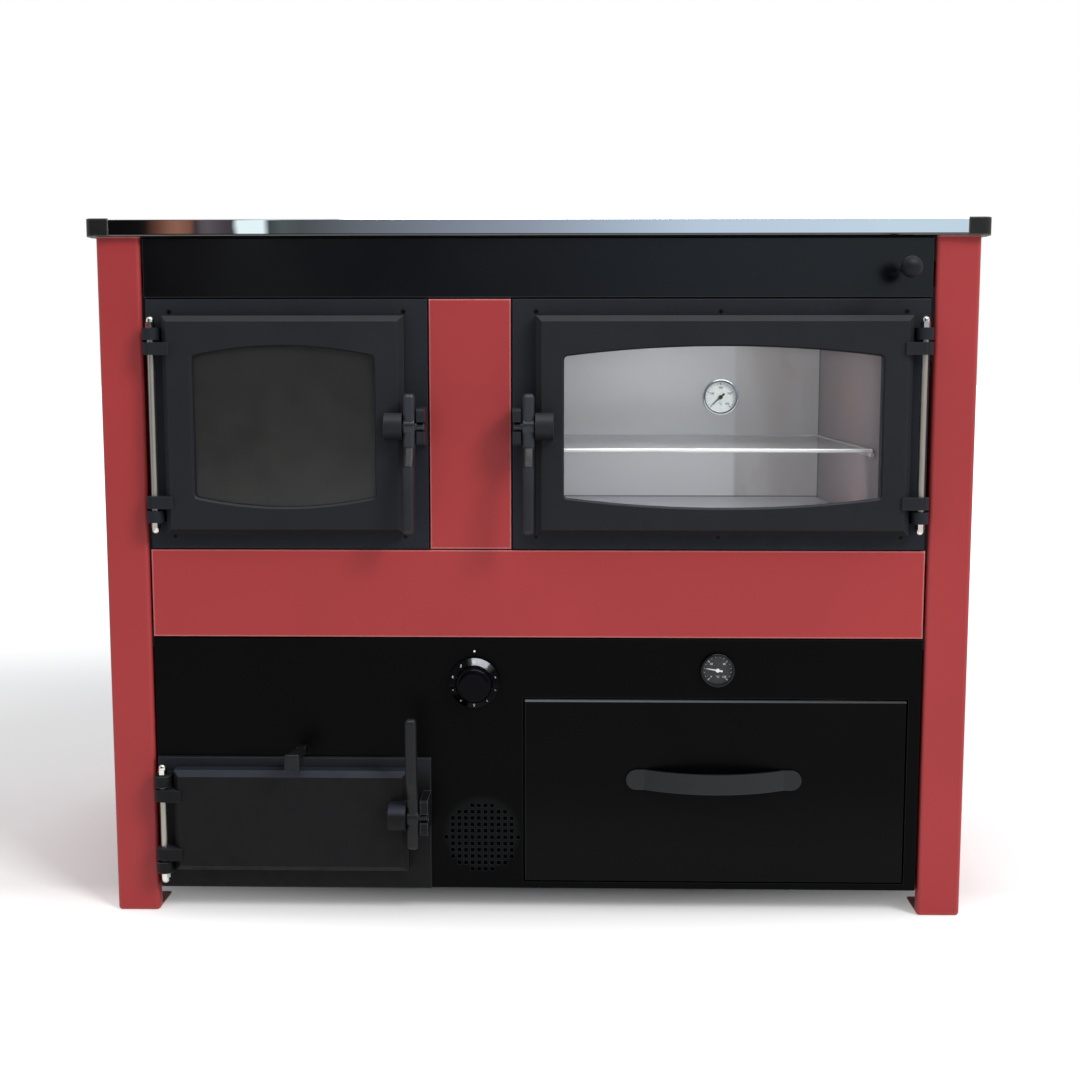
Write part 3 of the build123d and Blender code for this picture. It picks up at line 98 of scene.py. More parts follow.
def figure(bm, text, size, x, y, z, turn=0.0, lean=0.0):
    """Flat figures that face the viewer, or lean back by an angle, centred on a point."""
    curve = bpy.data.curves.new("figure", "FONT")
    curve.body = text
    curve.size = size
    curve.align_x = "CENTER"
    curve.align_y = "CENTER"
    holder = bpy.data.objects.new("figure", curve)
    scene.collection.objects.link(holder)
    bpy.context.view_layer.update()
    mesh = bpy.data.meshes.new_from_object(holder)
    place = (Matrix.Translation((x, y, z)) @ Matrix.Rotation(turn, 4, "Y")
             @ Matrix.Rotation(pi / 2 - lean, 4, "X"))
    mesh.transform(place)
    bm.from_mesh(mesh)
    bpy.data.objects.remove(holder)
    bpy.data.curves.remove(curve)
    bpy.data.meshes.remove(mesh)


# ------------------------------------------------------------------ materials
def srgb(r, g, b):
    """Linear colour of an 8-bit sRGB one."""
    out = []
    for v in (r, g, b):
        v /= 255
        out.append(v / 12.92 if v <= 0.04045 else ((v + 0.055) / 1.055) ** 2.4)
    return tuple(out) + (1.0,)


def scaled(colour, factor):
    """The colour made brighter or darker."""
    return tuple(min(1.0, c * factor) for c in colour[:3]) + (1.0,)


class Build:
    """Node tree of one material, with the few steps that most of them share."""

    def __init__(self, name, colour, rough=0.5, metal=0.0, spec=0.5, alpha=1.0):
        self.mat = bpy.data.materials.new(name)
        self.mat.use_nodes = True
        self.tree = self.mat.node_tree
        self.tree.nodes.clear()
        self.out = self.add("ShaderNodeOutputMaterial")
        self.shader = self.add("ShaderNodeBsdfPrincipled")
        self.link(self.shader.outputs[0], self.out.inputs[0])
        self.shader.inputs["Base Color"].default_value = colour
        self.shader.inputs["Roughness"].default_value = rough
        self.shader.inputs["Metallic"].default_value = metal
        self.shader.inputs["Specular IOR Level"].default_value = spec
        self.shader.inputs["Alpha"].default_value = alpha
        self.colour = None
        self.normal = None
        self.where = self.add("ShaderNodeTexCoord").outputs["Object"]

    def add(self, kind):
        return self.tree.nodes.new(kind)

    def link(self, a, b):
        self.tree.links.new(a, b)

    def noise(self, scale, detail=3.0, stretch=(1, 1, 1), rough=0.5):
        """Noise value over the object, stretched along its axes."""
        source = self.where
        if stretch != (1, 1, 1):
            mapping = self.add("ShaderNodeMapping")
            mapping.inputs["Scale"].default_value = stretch
            self.link(source, mapping.inputs["Vector"])
            source = mapping.outputs[0]
        tex = self.add("ShaderNodeTexNoise")
        tex.inputs["Scale"].default_value = scale
        tex.inputs["Detail"].default_value = detail
        tex.inputs["Roughness"].default_value = rough
        self.link(source, tex.inputs["Vector"])
        return tex.outputs["Fac"]

    def ramp(self, value, low, high, to_low=0.0, to_high=1.0):
        """Straight ramp from one range to another, held at its ends."""
        node = self.add("ShaderNodeMapRange")
        node.inputs["From Min"].default_value = low
        node.inputs["From Max"].default_value = high
        node.inputs["To Min"].default_value = to_low
        node.inputs["To Max"].default_value = to_high
        self.link(value, node.inputs["Value"])
        return node.outputs[0]

    def axis(self, name):
        """Object coordinate along X, Y or Z."""
        node = self.add("ShaderNodeSeparateXYZ")
        self.link(self.where, node.inputs[0])
        return node.outputs[name]

    def math(self, kind, a, b=None):
        """Math node on sockets or plain numbers."""
        node = self.add("ShaderNodeMath")
        node.operation = kind
        for socket, value in zip(node.inputs, (a, b)):
            if value is None:
                continue
            if isinstance(value, (int, float)):
                socket.default_value = value
            else:
                self.link(value, socket)
        return node.outputs[0]

    def blend(self, factor, one, two):
        """Mix two colours; each is a socket or a plain colour."""
        node = self.add("ShaderNodeMix")
        node.data_type = "RGBA"
        self.link(factor, node.inputs["Factor"])
        for socket, value in ((node.inputs[6], one), (node.inputs[7], two)):
            if isinstance(value, tuple):
                socket.default_value = value
            else:
                self.link(value, socket)
        return node.outputs[2]

    def paint(self, colour_socket):
        """Make a socket the base colour."""
        self.colour = colour_socket
        self.link(colour_socket, self.shader.inputs["Base Color"])

    def vary(self, colour, amount, scale):
        """Colour that drifts a little over the surface."""
        fac = self.ramp(self.noise(scale), 0.3, 0.7)
        self.paint(self.blend(fac, scaled(colour, 1 - amount), scaled(colour, 1 + amount)))

    def over(self, factor, colour):
        """Lay another colour over what is there."""
        self.paint(self.blend(factor, self.colour, colour))

    def edges(self, radius, low=0.02, high=0.25):
        """Mask of sharp edges."""
        bevel = self.add("ShaderNodeBevel")
        bevel.samples = 4
        bevel.inputs["Radius"].default_value = radius
        plain = self.add("ShaderNodeNewGeometry")
        dot = self.add("ShaderNodeVectorMath")
        dot.operation = "DOT_PRODUCT"
        self.link(bevel.outputs[0], dot.inputs[0])
        self.link(plain.outputs["Normal"], dot.inputs[1])
        return self.ramp(self.math("SUBTRACT", 1.0, dot.outputs["Value"]), low, high)

    def rough(self, base, spread, scale, stretch=(1, 1, 1)):
        """Roughness that drifts about a base.

        No range crosses 0.27, because the denoiser draws hard edges there.
        """
        value = self.ramp(self.noise(scale, 4.0, stretch), 0.25, 0.75, base - spread, base + spread)
        self.link(value, self.shader.inputs["Roughness"])

    def bump(self, height, distance):
        """Fine relief, added to what is there."""
        node = self.add("ShaderNodeBump")
        node.inputs["Strength"].default_value = 1.0
        node.inputs["Distance"].default_value = distance
        self.link(height, node.inputs["Height"])
        if self.normal is not None:
            self.link(self.normal, node.inputs["Normal"])
        self.normal = node.outputs[0]
        self.link(self.normal, self.shader.inputs["Normal"])

    def from_centre(self, centre, keep):
        """Vector from a centre, and its length; keep is 1 for each axis that counts."""
        shift = self.add("ShaderNodeMapping")
        shift.inputs["Location"].default_value = [-c * k for c, k in zip(centre, keep)]
        shift.inputs["Scale"].default_value = keep
        self.link(self.where, shift.inputs["Vector"])
        reach = self.add("ShaderNodeVectorMath")
        reach.operation = "LENGTH"
        self.link(shift.outputs[0], reach.inputs[0])
        return shift.outputs[0], reach.outputs["Value"]

    def faces(self):
        """Components of the face's direction in the room."""
        split = self.add("ShaderNodeSeparateXYZ")
        self.link(self.add("ShaderNodeNewGeometry").outputs["Normal"], split.inputs[0])
        return split.outputs


def enamel(name, colour, edge, rough, spec, highlight_edges=(0.0012, 0.02, 0.25)):
    """Baked paint on folded sheet: faint orange peel, slow waves, paler edges that are a painted highlight."""
    b = Build(name, colour, rough, spec=spec)
    b.vary(colour, 0.05, 4.0)
    speck = b.ramp(b.noise(900.0, 2.0), 0.66, 0.74, 0.0, 0.35)
    b.over(speck, scaled(colour, 0.8))
    # Paler edges: a painted highlight where the folds catch light.
    b.over(b.edges(*highlight_edges), edge)
    b.rough(rough, 0.05, 14.0)
    b.bump(b.noise(520.0, 2.0), 0.00004)
    b.bump(b.noise(5.0, 1.0), 0.0006)
    return b.mat


# Painted shade for faces that face down.
UNDERSIDE_SHADE = srgb(9, 9, 10)
# Levers' leaning faces below this height get a painted shade.
LEAN_BELOW = 0.62             # height under which the levers' leaning faces are darkened


def casting(name, colour, edge, rough=0.58, spec=0.14, grain=0.00018, drift=0.1,
            highlight_edges=(0.0016, 0.02, 0.25), low=None, upper_face_highlight=None, lean=None):
    """Painted sand casting: fine grain, blotches, paler edges that are a painted highlight.

    low is a start height, an end height and the darker colour below them.
    tops is the paler colour painted on what faces up, a painted highlight; what faces down then gets a painted
    shade.
    lean is the darker colour of what leans back a little, a painted shade.
    """
    b = Build(name, colour, rough, spec=spec)
    b.vary(colour, drift, 11.0)
    b.over(b.ramp(b.noise(300.0, 4.0), 0.58, 0.7, 0.0, 0.5), scaled(colour, 1.25))
    if low:
        b.over(b.ramp(b.axis("Z"), low[0], low[1], 0.0, 0.9), low[2])
    # Painted shade on what leans back, below LEAN_BELOW.
    if lean:
        split = b.add("ShaderNodeSeparateXYZ")
        b.link(b.where.node.outputs["Normal"], split.inputs[0])
        below = b.ramp(b.axis("Z"), LEAN_BELOW, LEAN_BELOW - 0.01)
        b.over(b.math("MULTIPLY", b.ramp(split.outputs["Z"], 0.08, 0.16), below), lean)
    # Paler edges: a painted highlight.
    b.over(b.edges(*highlight_edges), edge)
    # Painted highlight on what faces up, painted shade on what faces down.
    if upper_face_highlight:
        up = b.faces()["Z"]
        b.over(b.ramp(up, 0.35, 0.6, 0.0, 0.9), upper_face_highlight)
        b.over(b.ramp(up, -0.35, -0.6, 0.0, 0.7), UNDERSIDE_SHADE)
    b.rough(rough, 0.09, 60.0)
    b.bump(b.noise(650.0, 3.0, rough=0.6), grain)
    b.bump(b.noise(90.0, 2.0), grain * 1.4)
    return b.mat


def sheet_metal(name, colour, rough, streak, drift=0.08, metal=1.0):
    """Bare or plated sheet with rolling streaks and paler edges that are a painted highlight."""
    b = Build(name, colour, rough, metal)
    b.vary(colour, drift, 5.0)
    b.over(b.ramp(b.noise(60.0, 4.0, streak), 0.45, 0.75, 0.0, 0.5), scaled(colour, 0.82))
    # Paler edges: a painted highlight.
    b.over(b.edges(0.0009), scaled(colour, 1.3))
    b.rough(rough, 0.1, 30.0, streak)
    b.bump(b.noise(220.0, 3.0, streak), 0.00005)
    return b.mat


red_enamel = enamel("red_enamel_paint", srgb(162, 50, 52), srgb(216, 142, 142),
                    rough=0.42, spec=0.3, highlight_edges=(0.0026, 0.004, 0.08))
fascia_enamel = enamel("fascia_black_enamel", srgb(3, 4, 7), srgb(14, 16, 20), rough=0.18, spec=0.38)
door_casting = casting("door_black_casting", srgb(29, 31, 35), srgb(50, 53, 60), upper_face_highlight=srgb(50, 52, 57))
frame_casting = casting("frame_black_casting", srgb(29, 32, 38), srgb(45, 49, 56))
ash_casting = casting("ash_black_casting", srgb(16, 15, 17), srgb(38, 40, 46), upper_face_highlight=srgb(42, 46, 56))
ash_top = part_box("ash_frame")[1].z
# Its pale edges are a painted highlight.
ash_frame_casting = casting("ash_frame_casting", srgb(27, 30, 35), srgb(72, 77, 82),
                            highlight_edges=(0.0016, 0.01, 0.15),
                            low=(ash_top - 0.008, ash_top - 0.03, srgb(14, 13, 13)))
# The lever's lower part is painted darker as a painted shade, and so are its leaning faces; its paler edges are
# a painted highlight.
lever_casting = casting("lever_black_casting", srgb(38, 41, 48), srgb(80, 86, 95),
                        rough=0.46, spec=0.3, grain=0.00008, highlight_edges=(0.0018, 0.01, 0.2),
                        low=(0.575, 0.53, srgb(23, 25, 29)), lean=srgb(12, 13, 16))
# The caps' pale yellowish edges are painted glints.
cap_casting = casting("cap_black_casting", srgb(20, 20, 19), srgb(96, 94, 80),
                      rough=0.4, spec=0.3, highlight_edges=(0.0028, 0.004, 0.08))
low_lever_casting = casting("low_lever_black_casting", srgb(20, 21, 23), srgb(58, 60, 64),
                            rough=0.46, spec=0.22, grain=0.00008, highlight_edges=(0.0018, 0.01, 0.2))
collar_casting = casting("collar_black_casting", srgb(28, 29, 31), srgb(54, 56, 60), rough=0.5)

VENT_R = 0.045                # radius of the disc that the air vent's holes fill


def panel_enamel():
    """Black enamel, paler inside the vent's disc, and paler at its edges as a painted highlight."""
    colour = srgb(5, 5, 6)
    b = Build("panel_black_enamel", colour, 0.36, spec=0.04)
    b.vary(colour, 0.1, 4.0)
    _, reach = b.from_centre(middle("air_flap"), (1, 0, 1))
    b.over(b.ramp(reach, VENT_R + 0.004, VENT_R - 0.004, 0.0, 0.9), srgb(17, 18, 19))
    # Paler edges: a painted highlight.
    b.over(b.edges(0.0012), srgb(44, 48, 50))
    b.rough(0.36, 0.05, 14.0)
    b.bump(b.noise(520.0, 2.0), 0.00004)
    return b.mat


def drawer_enamel():
    """Black enamel, greyer low down as painted light, with a painted highlight along the folded top edge and a
    little at the left.
    """
    low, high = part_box("drawer_front")
    colour = srgb(3, 3, 4)
    b = Build("drawer_black_enamel", colour, 0.35, spec=0.05)
    b.vary(colour, 0.1, 4.0)
    # Greyer low down: painted light.
    b.over(b.ramp(b.axis("Z"), low.z + 0.13, low.z + 0.04, 0.0, 0.9), srgb(14, 13, 14))
    # Bright line along the folded top edge and a faint one at the left: painted highlight.
    top = b.ramp(b.axis("Z"), high.z - 0.0022, high.z - 0.0016)
    along = b.ramp(b.axis("X"), low.x, high.x, 0.9, 0.35)
    b.over(b.math("MULTIPLY", top, along), srgb(104, 108, 111))
    b.over(b.ramp(b.axis("X"), low.x + 0.0014, low.x + 0.0008, 0.0, 0.3), srgb(58, 60, 62))
    b.rough(0.35, 0.05, 14.0)
    b.bump(b.noise(520.0, 2.0), 0.00003)
    return b.mat


def polished_rail():
    """Polished stainless bar with faint lengthwise polishing lines and a lower lip painted dark, a painted
    shade.
    """
    colour = srgb(240, 244, 248)
    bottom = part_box("top_rails")[0].z
    b = Build("rail_polished_steel", colour, 0.012, 1.0)
    b.vary(colour, 0.015, 3.0)
    b.over(b.ramp(b.noise(40.0, 4.0, (1, 60, 60)), 0.5, 0.8, 0.0, 0.1), srgb(190, 194, 200))
    # Lower lip painted dark: painted shade of the gap under the rail.
    b.over(b.ramp(b.axis("Z"), bottom + 0.0032, bottom + 0.0026, 0.0, 0.92), srgb(50, 46, 43))
    b.rough(0.012, 0.006, 30.0, (1, 40, 40))
    return b.mat


def hob_iron(name, turned=False):
    """Ground cast iron: turned rings on ring and lid, straight grinding elsewhere, painted shade in the seams.
    """
    colour = srgb(92, 93, 95)
    b = Build(name, colour, 0.4, 0.85)
    b.vary(colour, 0.06, 5.0)
    around, reach = b.from_centre(middle("hob_lid"), (1, 1, 0))
    if turned:
        wave = b.add("ShaderNodeTexWave")
        wave.wave_type = "RINGS"
        wave.rings_direction = "Z"
        wave.inputs["Scale"].default_value = 190.0
        wave.inputs["Distortion"].default_value = 0.6
        wave.inputs["Detail"].default_value = 2.0
        b.link(around, wave.inputs["Vector"])
        lines = wave.outputs["Fac"]
    else:
        lines = b.noise(60.0, 3.0, (1, 20, 1))
    b.over(b.ramp(lines, 0.35, 0.8, 0.0, 0.3), scaled(colour, 0.75))
    heat = b.ramp(reach, 0.3, 0.08, 0.0, 0.55)
    patches = b.ramp(b.noise(14.0, 4.0), 0.3, 0.7, 0.4, 1.0)
    b.over(b.math("MULTIPLY", heat, patches), srgb(62, 57, 56))
    # Dark rings at the seams: painted shade of the gaps between plate, ring and lid.
    for seam in ("hob_ring", "hob_lid"):
        low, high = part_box(seam)
        off = b.math("ABSOLUTE", b.math("SUBTRACT", reach, (high.x - low.x) / 2))
        b.over(b.ramp(off, 0.0034, 0.0008, 0.0, 0.95), srgb(10, 9, 9))
    b.rough(0.42, 0.08, 40.0)
    b.bump(lines, 0.00006)
    b.bump(b.noise(500.0, 3.0), 0.00008)
    return b.mat


OVEN_WALL = 0.0015            # sheet of the oven box
HEAT_STEP = 0.2875            # X from which the oven's wall is browner
SKIN = (0.0006, 0.0002)       # how far in front of a face its paint starts, and where it is full


def oven_steel():
    """Polished oven sheet: pale left, brownish from a step on, warm right wall, dark corner seams, a floor
    painted paler as painted light, and painted shade towards the mouth.
    """
    low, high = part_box("oven_liner")
    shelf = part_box("oven_shelf")[0].z
    back, right, floor = high.y - OVEN_WALL, high.x - OVEN_WALL, low.z + OVEN_WALL
    colour = srgb(212, 214, 218)
    b = Build("oven_polished_steel", colour, 0.3, 0.3)
    b.vary(colour, 0.03, 4.0)
    across, height = b.axis("X"), b.axis("Z")
    on_right = b.ramp(across, right - SKIN[0], right - SKIN[1])
    on_floor = b.ramp(height, floor + SKIN[0], floor + SKIN[1], 0.0, 0.95)
    step = b.ramp(across, HEAT_STEP - 0.004, HEAT_STEP + 0.002)
    # back and left wall
    b.over(b.ramp(b.noise(5.0, 2.0, (0.5, 1, 2.6)), 0.5, 0.75, 0.0, 0.4), srgb(196, 186, 176))
    b.over(b.ramp(height, shelf, shelf - 0.02, 0.0, 0.5), srgb(240, 240, 242))
    mottle = b.ramp(b.noise(7.0, 1.0, (2.6, 1, 0.5)), 0.3, 0.7, 0.45, 0.95)
    b.over(b.math("MULTIPLY", step, mottle), srgb(186, 181, 180))
    stains = b.ramp(b.noise(16.0, 2.0, (2.0, 1, 0.8)), 0.6, 0.8, 0.0, 0.35)
    b.over(b.math("MULTIPLY", step, stains), srgb(176, 142, 128))
    # right wall
    b.over(b.math("MULTIPLY", on_right, 0.95), srgb(128, 106, 112))
    blotch = b.ramp(b.noise(8.0, 2.0, (1, 0.6, 1.4)), 0.5, 0.72, 0.0, 0.5)
    b.over(b.math("MULTIPLY", on_right, blotch), srgb(164, 118, 108))
    # floor, painted paler as painted light, with painted shade towards its mouth
    b.over(on_floor, srgb(244, 246, 255))
    mouth = b.ramp(b.axis("Y"), -0.02, -0.12, 0.0, 0.95)
    b.over(b.math("MULTIPLY", on_floor, mouth), srgb(190, 191, 198))
    # right wall, painted shade towards its mouth
    wall_mouth_shade = b.ramp(b.axis("Y"), back - 0.16, low.y + 0.05, 0.0, 0.5)
    b.over(b.math("MULTIPLY", on_right, wall_mouth_shade), srgb(84, 72, 76))
    # seams along the right and lower corners
    seam = b.math("MULTIPLY", b.ramp(across, right - 0.0028, right - 0.0022),
                  b.ramp(across, right - 0.0004, right - 0.0008))
    b.over(b.math("MULTIPLY", seam, 0.8), srgb(52, 48, 50))
    low_seam = b.math("MULTIPLY", b.ramp(height, floor + 0.0032, floor + 0.0026),
                      b.ramp(height, floor + 0.0004, floor + 0.0008))
    b.over(b.math("MULTIPLY", low_seam, 0.75), srgb(70, 68, 74))
    b.rough(0.36, 0.05, 6.0)
    b.bump(b.noise(140.0, 3.0, (1, 1, 18)), 0.00002)
    return b.mat


def shelf_sheet():
    """Polished shelf: rolled rim painted bright as a painted highlight, darker middle, pale rear."""
    low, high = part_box("oven_shelf")
    colour = srgb(150, 150, 151)
    b = Build("shelf_bright_sheet", colour, 0.3, 0.3)
    b.vary(colour, 0.05, 3.0)
    rear = b.ramp(b.axis("Y"), high.y - 0.16, high.y - 0.02, 0.0, 0.7)
    b.over(rear, srgb(206, 207, 208))
    # Bright front rim: painted highlight.
    b.over(b.ramp(b.axis("Y"), low.y + 0.0075, low.y + 0.006, 0.0, 0.95), srgb(250, 250, 250))
    b.rough(0.2, 0.05, 12.0, (1, 20, 1))
    b.bump(b.noise(90.0, 3.0, (1, 30, 1)), 0.00003)
    return b.mat


def dull_glass():
    """Ceramic pane of the fire, lightly smoked."""
    colour = srgb(40, 40, 39)
    b = Build("fire_ceramic_glass", colour, 0.16, 0.0, 0.5, alpha=0.86)
    b.vary(colour, 0.1, 5.0)
    b.over(b.ramp(b.noise(12.0, 5.0), 0.5, 0.8, 0.0, 0.4), srgb(52, 50, 46))
    b.rough(0.2, 0.06, 25.0)
    return b.mat


def clear_glass(name, alpha, colour=srgb(150, 156, 160)):
    """Clear pane with a faint haze from wiping."""
    b = Build(name, colour, 0.04, 0.0, 0.5, alpha=alpha)
    b.vary(colour, 0.08, 6.0)
    b.rough(0.05, 0.02, 8.0, (1, 1, 3))
    return b.mat


def rope():
    """Woven ceramic rope."""
    colour = srgb(196, 190, 176)
    b = Build("woven_seal_rope", colour, 0.9)
    b.vary(colour, 0.1, 30.0)
    wave = b.add("ShaderNodeTexWave")
    wave.bands_direction = "DIAGONAL"
    wave.inputs["Scale"].default_value = 90.0
    wave.inputs["Distortion"].default_value = 1.0
    b.link(b.where, wave.inputs["Vector"])
    b.over(b.ramp(wave.outputs["Fac"], 0.3, 0.9, 0.0, 0.6), scaled(colour, 0.6))
    b.bump(wave.outputs["Fac"], 0.0006)
    return b.mat


def brick():
    """Pressed refractory board, sooted towards the top."""
    colour = srgb(186, 164, 128)
    b = Build("refractory_board", colour, 0.92)
    b.vary(colour, 0.12, 14.0)
    b.over(b.ramp(b.noise(160.0, 3.0), 0.55, 0.7, 0.0, 0.7), srgb(150, 128, 96))
    upwards = b.ramp(b.axis("Z"), 0.24, 0.5, 0.25, 0.95)
    b.over(b.math("MULTIPLY", upwards, b.ramp(b.noise(8.0, 5.0), 0.3, 0.6)), srgb(38, 34, 31))
    b.bump(b.noise(260.0, 4.0), 0.0005)
    return b.mat


def gloss_black(name, colour=srgb(6, 6, 8), rough=0.12, spec=0.06):
    """Moulded black plastic."""
    b = Build(name, colour, rough, spec=spec)
    b.vary(colour, 0.15, 20.0)
    b.rough(rough, 0.04, 50.0)
    b.bump(b.noise(400.0, 2.0), 0.00002)
    return b.mat


def polished_bevel():
    """Black plastic whose bevel reflects strongly where it faces up and a little to the right, a painted
    highlight, and hardly elsewhere.
    """
    colour = srgb(14, 14, 16)
    b = Build("knob_bevel_painted_highlight", colour, 0.14, 1.0)
    b.vary(colour, 0.2, 60.0)
    facing = b.faces()
    lean = b.math("MULTIPLY_ADD", facing["X"], 0.35)
    b.link(facing["Z"], lean.node.inputs[2])
    # Painted highlight: strong reflection only where the bevel faces up and a little to the right.
    lit_side = b.ramp(lean, 0.5, 0.57)
    streak = b.ramp(b.noise(150.0, 2.0), 0.3, 0.7, 0.75, 1.0)
    b.over(b.math("MULTIPLY", lit_side, streak), srgb(61, 62, 65))
    b.rough(0.14, 0.05, 80.0)
    b.bump(b.noise(500.0, 2.0), 0.00003)
    return b.mat


def print_paint(name, colour):
    """Printed ink with a faint mottle."""
    b = Build(name, colour, 0.5)
    b.vary(colour, 0.06, 300.0)
    b.bump(b.noise(900.0, 2.0), 0.00001)
    return b.mat


hinge_metal = sheet_metal("hinge_rod_metal", srgb(160, 156, 148), 0.4, (30, 30, 1))
nut_metal = sheet_metal("nut_bright_plating", srgb(206, 206, 200), 0.16, (1, 1, 1))
zinc = sheet_metal("galvanised_sheet", srgb(150, 154, 158), 0.42, (1, 1, 6))
dark_steel = sheet_metal("dark_mild_steel", srgb(84, 86, 90), 0.45, (1, 1, 8))
black_sheet = enamel("black_inner_sheet", srgb(14, 14, 15), srgb(44, 46, 48), rough=0.5, spec=0.1)
# Painted shade: the duct and flap are near black so that the vent's holes look dark inside.
duct_black = enamel("duct_black_sheet", srgb(3, 3, 3), srgb(20, 20, 21), rough=0.6, spec=0.04)
chrome = sheet_metal("gauge_chrome", srgb(176, 180, 184), 0.14, (1, 1, 1), 0.04)
dark_chrome = sheet_metal("gauge_dark_chrome", srgb(36, 37, 39), 0.16, (1, 1, 1), 0.04)
handle_satin = casting("drawer_handle_satin", srgb(38, 40, 42), srgb(54, 58, 61),
                       rough=0.42, grain=0.00004, drift=0.05)
screw_black = casting("screw_black_oxide", srgb(22, 23, 25), srgb(44, 46, 48), rough=0.4, grain=0.00003)
white_ink = print_paint("white_dial_ink", srgb(240, 242, 242))
black_ink = print_paint("black_dial_ink", srgb(26, 26, 28))
pale_dial = print_paint("pale_dial_face", srgb(214, 220, 220))
dark_dial = print_paint("dark_dial_face", srgb(24, 25, 27))
knob_black = gloss_black("knob_gloss_black", srgb(6, 6, 9), 0.1, 0.04)
socket_shade = gloss_black("socket_shade")
ball_black = gloss_black("ball_black", srgb(18, 21, 28), 0.5, 0.16)

PAINT = {
    "carcass_bars": black_sheet,
    "front_posts": red_enamel, "rear_posts": red_enamel, "side_panels": red_enamel,
    "centre_strip": red_enamel, "middle_band": red_enamel,
    "upper_fascia": fascia_enamel, "lower_front_panel": panel_enamel(), "drawer_front": drawer_enamel(),
    "firebox_frame": frame_casting, "oven_frame": frame_casting, "ash_frame": ash_frame_casting,
    "firebox_door": door_casting, "oven_door": door_casting, "ash_door": ash_casting,
    "top_corners": cap_casting, "flue_collar": collar_casting,
    "firebox_handle": lever_casting, "oven_handle": lever_casting, "ash_handle": low_lever_casting,
    "shaker_bar": low_lever_casting,
    "hob_plate": hob_iron("hob_ground_iron"), "hob_ring": hob_iron("ring_turned_iron", True),
    "hob_lid": hob_iron("lid_turned_iron", True),
    "grate": casting("grate_iron", srgb(58, 55, 52), srgb(80, 74, 68)),
    "grate_bed": casting("bed_iron", srgb(54, 52, 50), srgb(78, 74, 70)),
    "top_rails": polished_rail(), "oven_shelf": shelf_sheet(), "oven_liner": oven_steel(),
    "firebox_glass": dull_glass(), "oven_glass": clear_glass("oven_clear_glass", 0.08),
    "firebricks": brick(),
    "firebox_gasket": rope(), "hinge_rods": hinge_metal, "hinge_nuts": nut_metal,
    "oven_thermometer": chrome, "boiler_thermometer": dark_chrome,
    "oven_thermometer_needle": black_ink, "boiler_thermometer_needle": white_ink,
    "frame_screws": screw_black, "firebox_glass_retainer": dark_steel, "oven_glass_retainer": dark_steel,
    "drawer_handle": handle_satin, "damper_knob": ball_black, "thermostat_knob": knob_black,
    "rear_panel": zinc, "ash_box": zinc, "ash_pan": zinc, "water_sockets": zinc,
    "drawer_housing": black_sheet, "air_duct": duct_black, "air_flap": duct_black,
    "drawer_box": sheet_metal("drawer_dark_sheet", srgb(46, 47, 50), 0.5, (1, 8, 1), metal=0.4),
}
for gasket in ("oven_gasket", "ash_gasket"):
    PAINT[gasket] = PAINT["firebox_gasket"]
for name, node in nodes.items():
    node.data.materials.clear()
    node.data.materials.append(PAINT.get(name, dark_steel))


# ------------------------------------------------------------------ dials
DIAL_RECESS = 0.004           # depth of the plate's seat behind the case's rim
DIAL_RIM = 0.0031             # width of the case's rim
DIAL_START, DIAL_SWEEP = radians(225), radians(-270)
DIAL_FIGURE, UNIT_FIGURE = 0.0033, 0.0036       # text sizes
MINOR_MARKS = 5               # small steps from one figure to the next


def dial(name, case, body, face_mat, ink, numbers):
    """Printed plate, figures and a domed lens in a round instrument."""
    low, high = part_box(case)
    centre = middle(case)
    front = low.y
    plate_y = front + DIAL_RECESS - 0.0003
    ink_y = plate_y - 0.0002
    r = (high.x - low.x) / 2 - DIAL_RIM
    bm = bmesh.new()
    lathe(bm, [(0, plate_y), (r, plate_y), (r, plate_y + 0.0002)], centre)
    finish_piece(name + "_plate", bm, body, face_mat)
    bm = bmesh.new()
    marks = (len(numbers) - 1) * MINOR_MARKS
    for i in range(marks + 1):
        a = DIAL_START + DIAL_SWEEP * i / marks
        major = i % MINOR_MARKS == 0
        inner, width = (0.78, 0.0006) if major else (0.86, 0.00032)
        bar_mark(bm, centre, a, r * inner, r * 0.95, width, ink_y)
    for i, text in enumerate(numbers):
        a = DIAL_START + DIAL_SWEEP * i / (len(numbers) - 1)
        figure(bm, text, DIAL_FIGURE, centre.x + cos(a) * r * 0.62, ink_y,
               centre.z + sin(a) * r * 0.62)
    figure(bm, "°C", UNIT_FIGURE, centre.x, ink_y, centre.z - r * 0.45)
    finish_piece(name + "_figures", bm, body, ink)
    bm = bmesh.new()
    dome = [(r * i / 6, front + 0.0005 + 0.0006 * (i / 6) ** 2) for i in range(7)]
    lathe(bm, dome, centre)
    lens = clear_glass(name + "_lens_glass", 0.05, srgb(60, 62, 64))
    finish_piece(name + "_lens", bm, body, lens, True)


dial("oven_dial", "oven_thermometer", "oven_door", pale_dial, black_ink, ["0", "100", "200", "300", "400"])
dial("water_dial", "boiler_thermometer", "stove_body", dark_dial, white_ink, ["0", "40", "80", "120"])


# ------------------------------------------------------------------ knob: bevel, figures, reference dot
SKIRT_T = 0.006               # thickness of the knob's skirt in the CAD node
DOME_R = 0.0232               # where the bevel meets the knob's dome
BEVEL_END = 0.0308            # outer radius of the bevel
BEVEL = radians(37)           # its slope
SCALE_R = 0.0265              # radius on which the figures stand
KNOB_FIGURE = 0.006           # their text size
MARKS = 10
DOT_RISE = 0.038              # height of the reference dot over the knob's axis

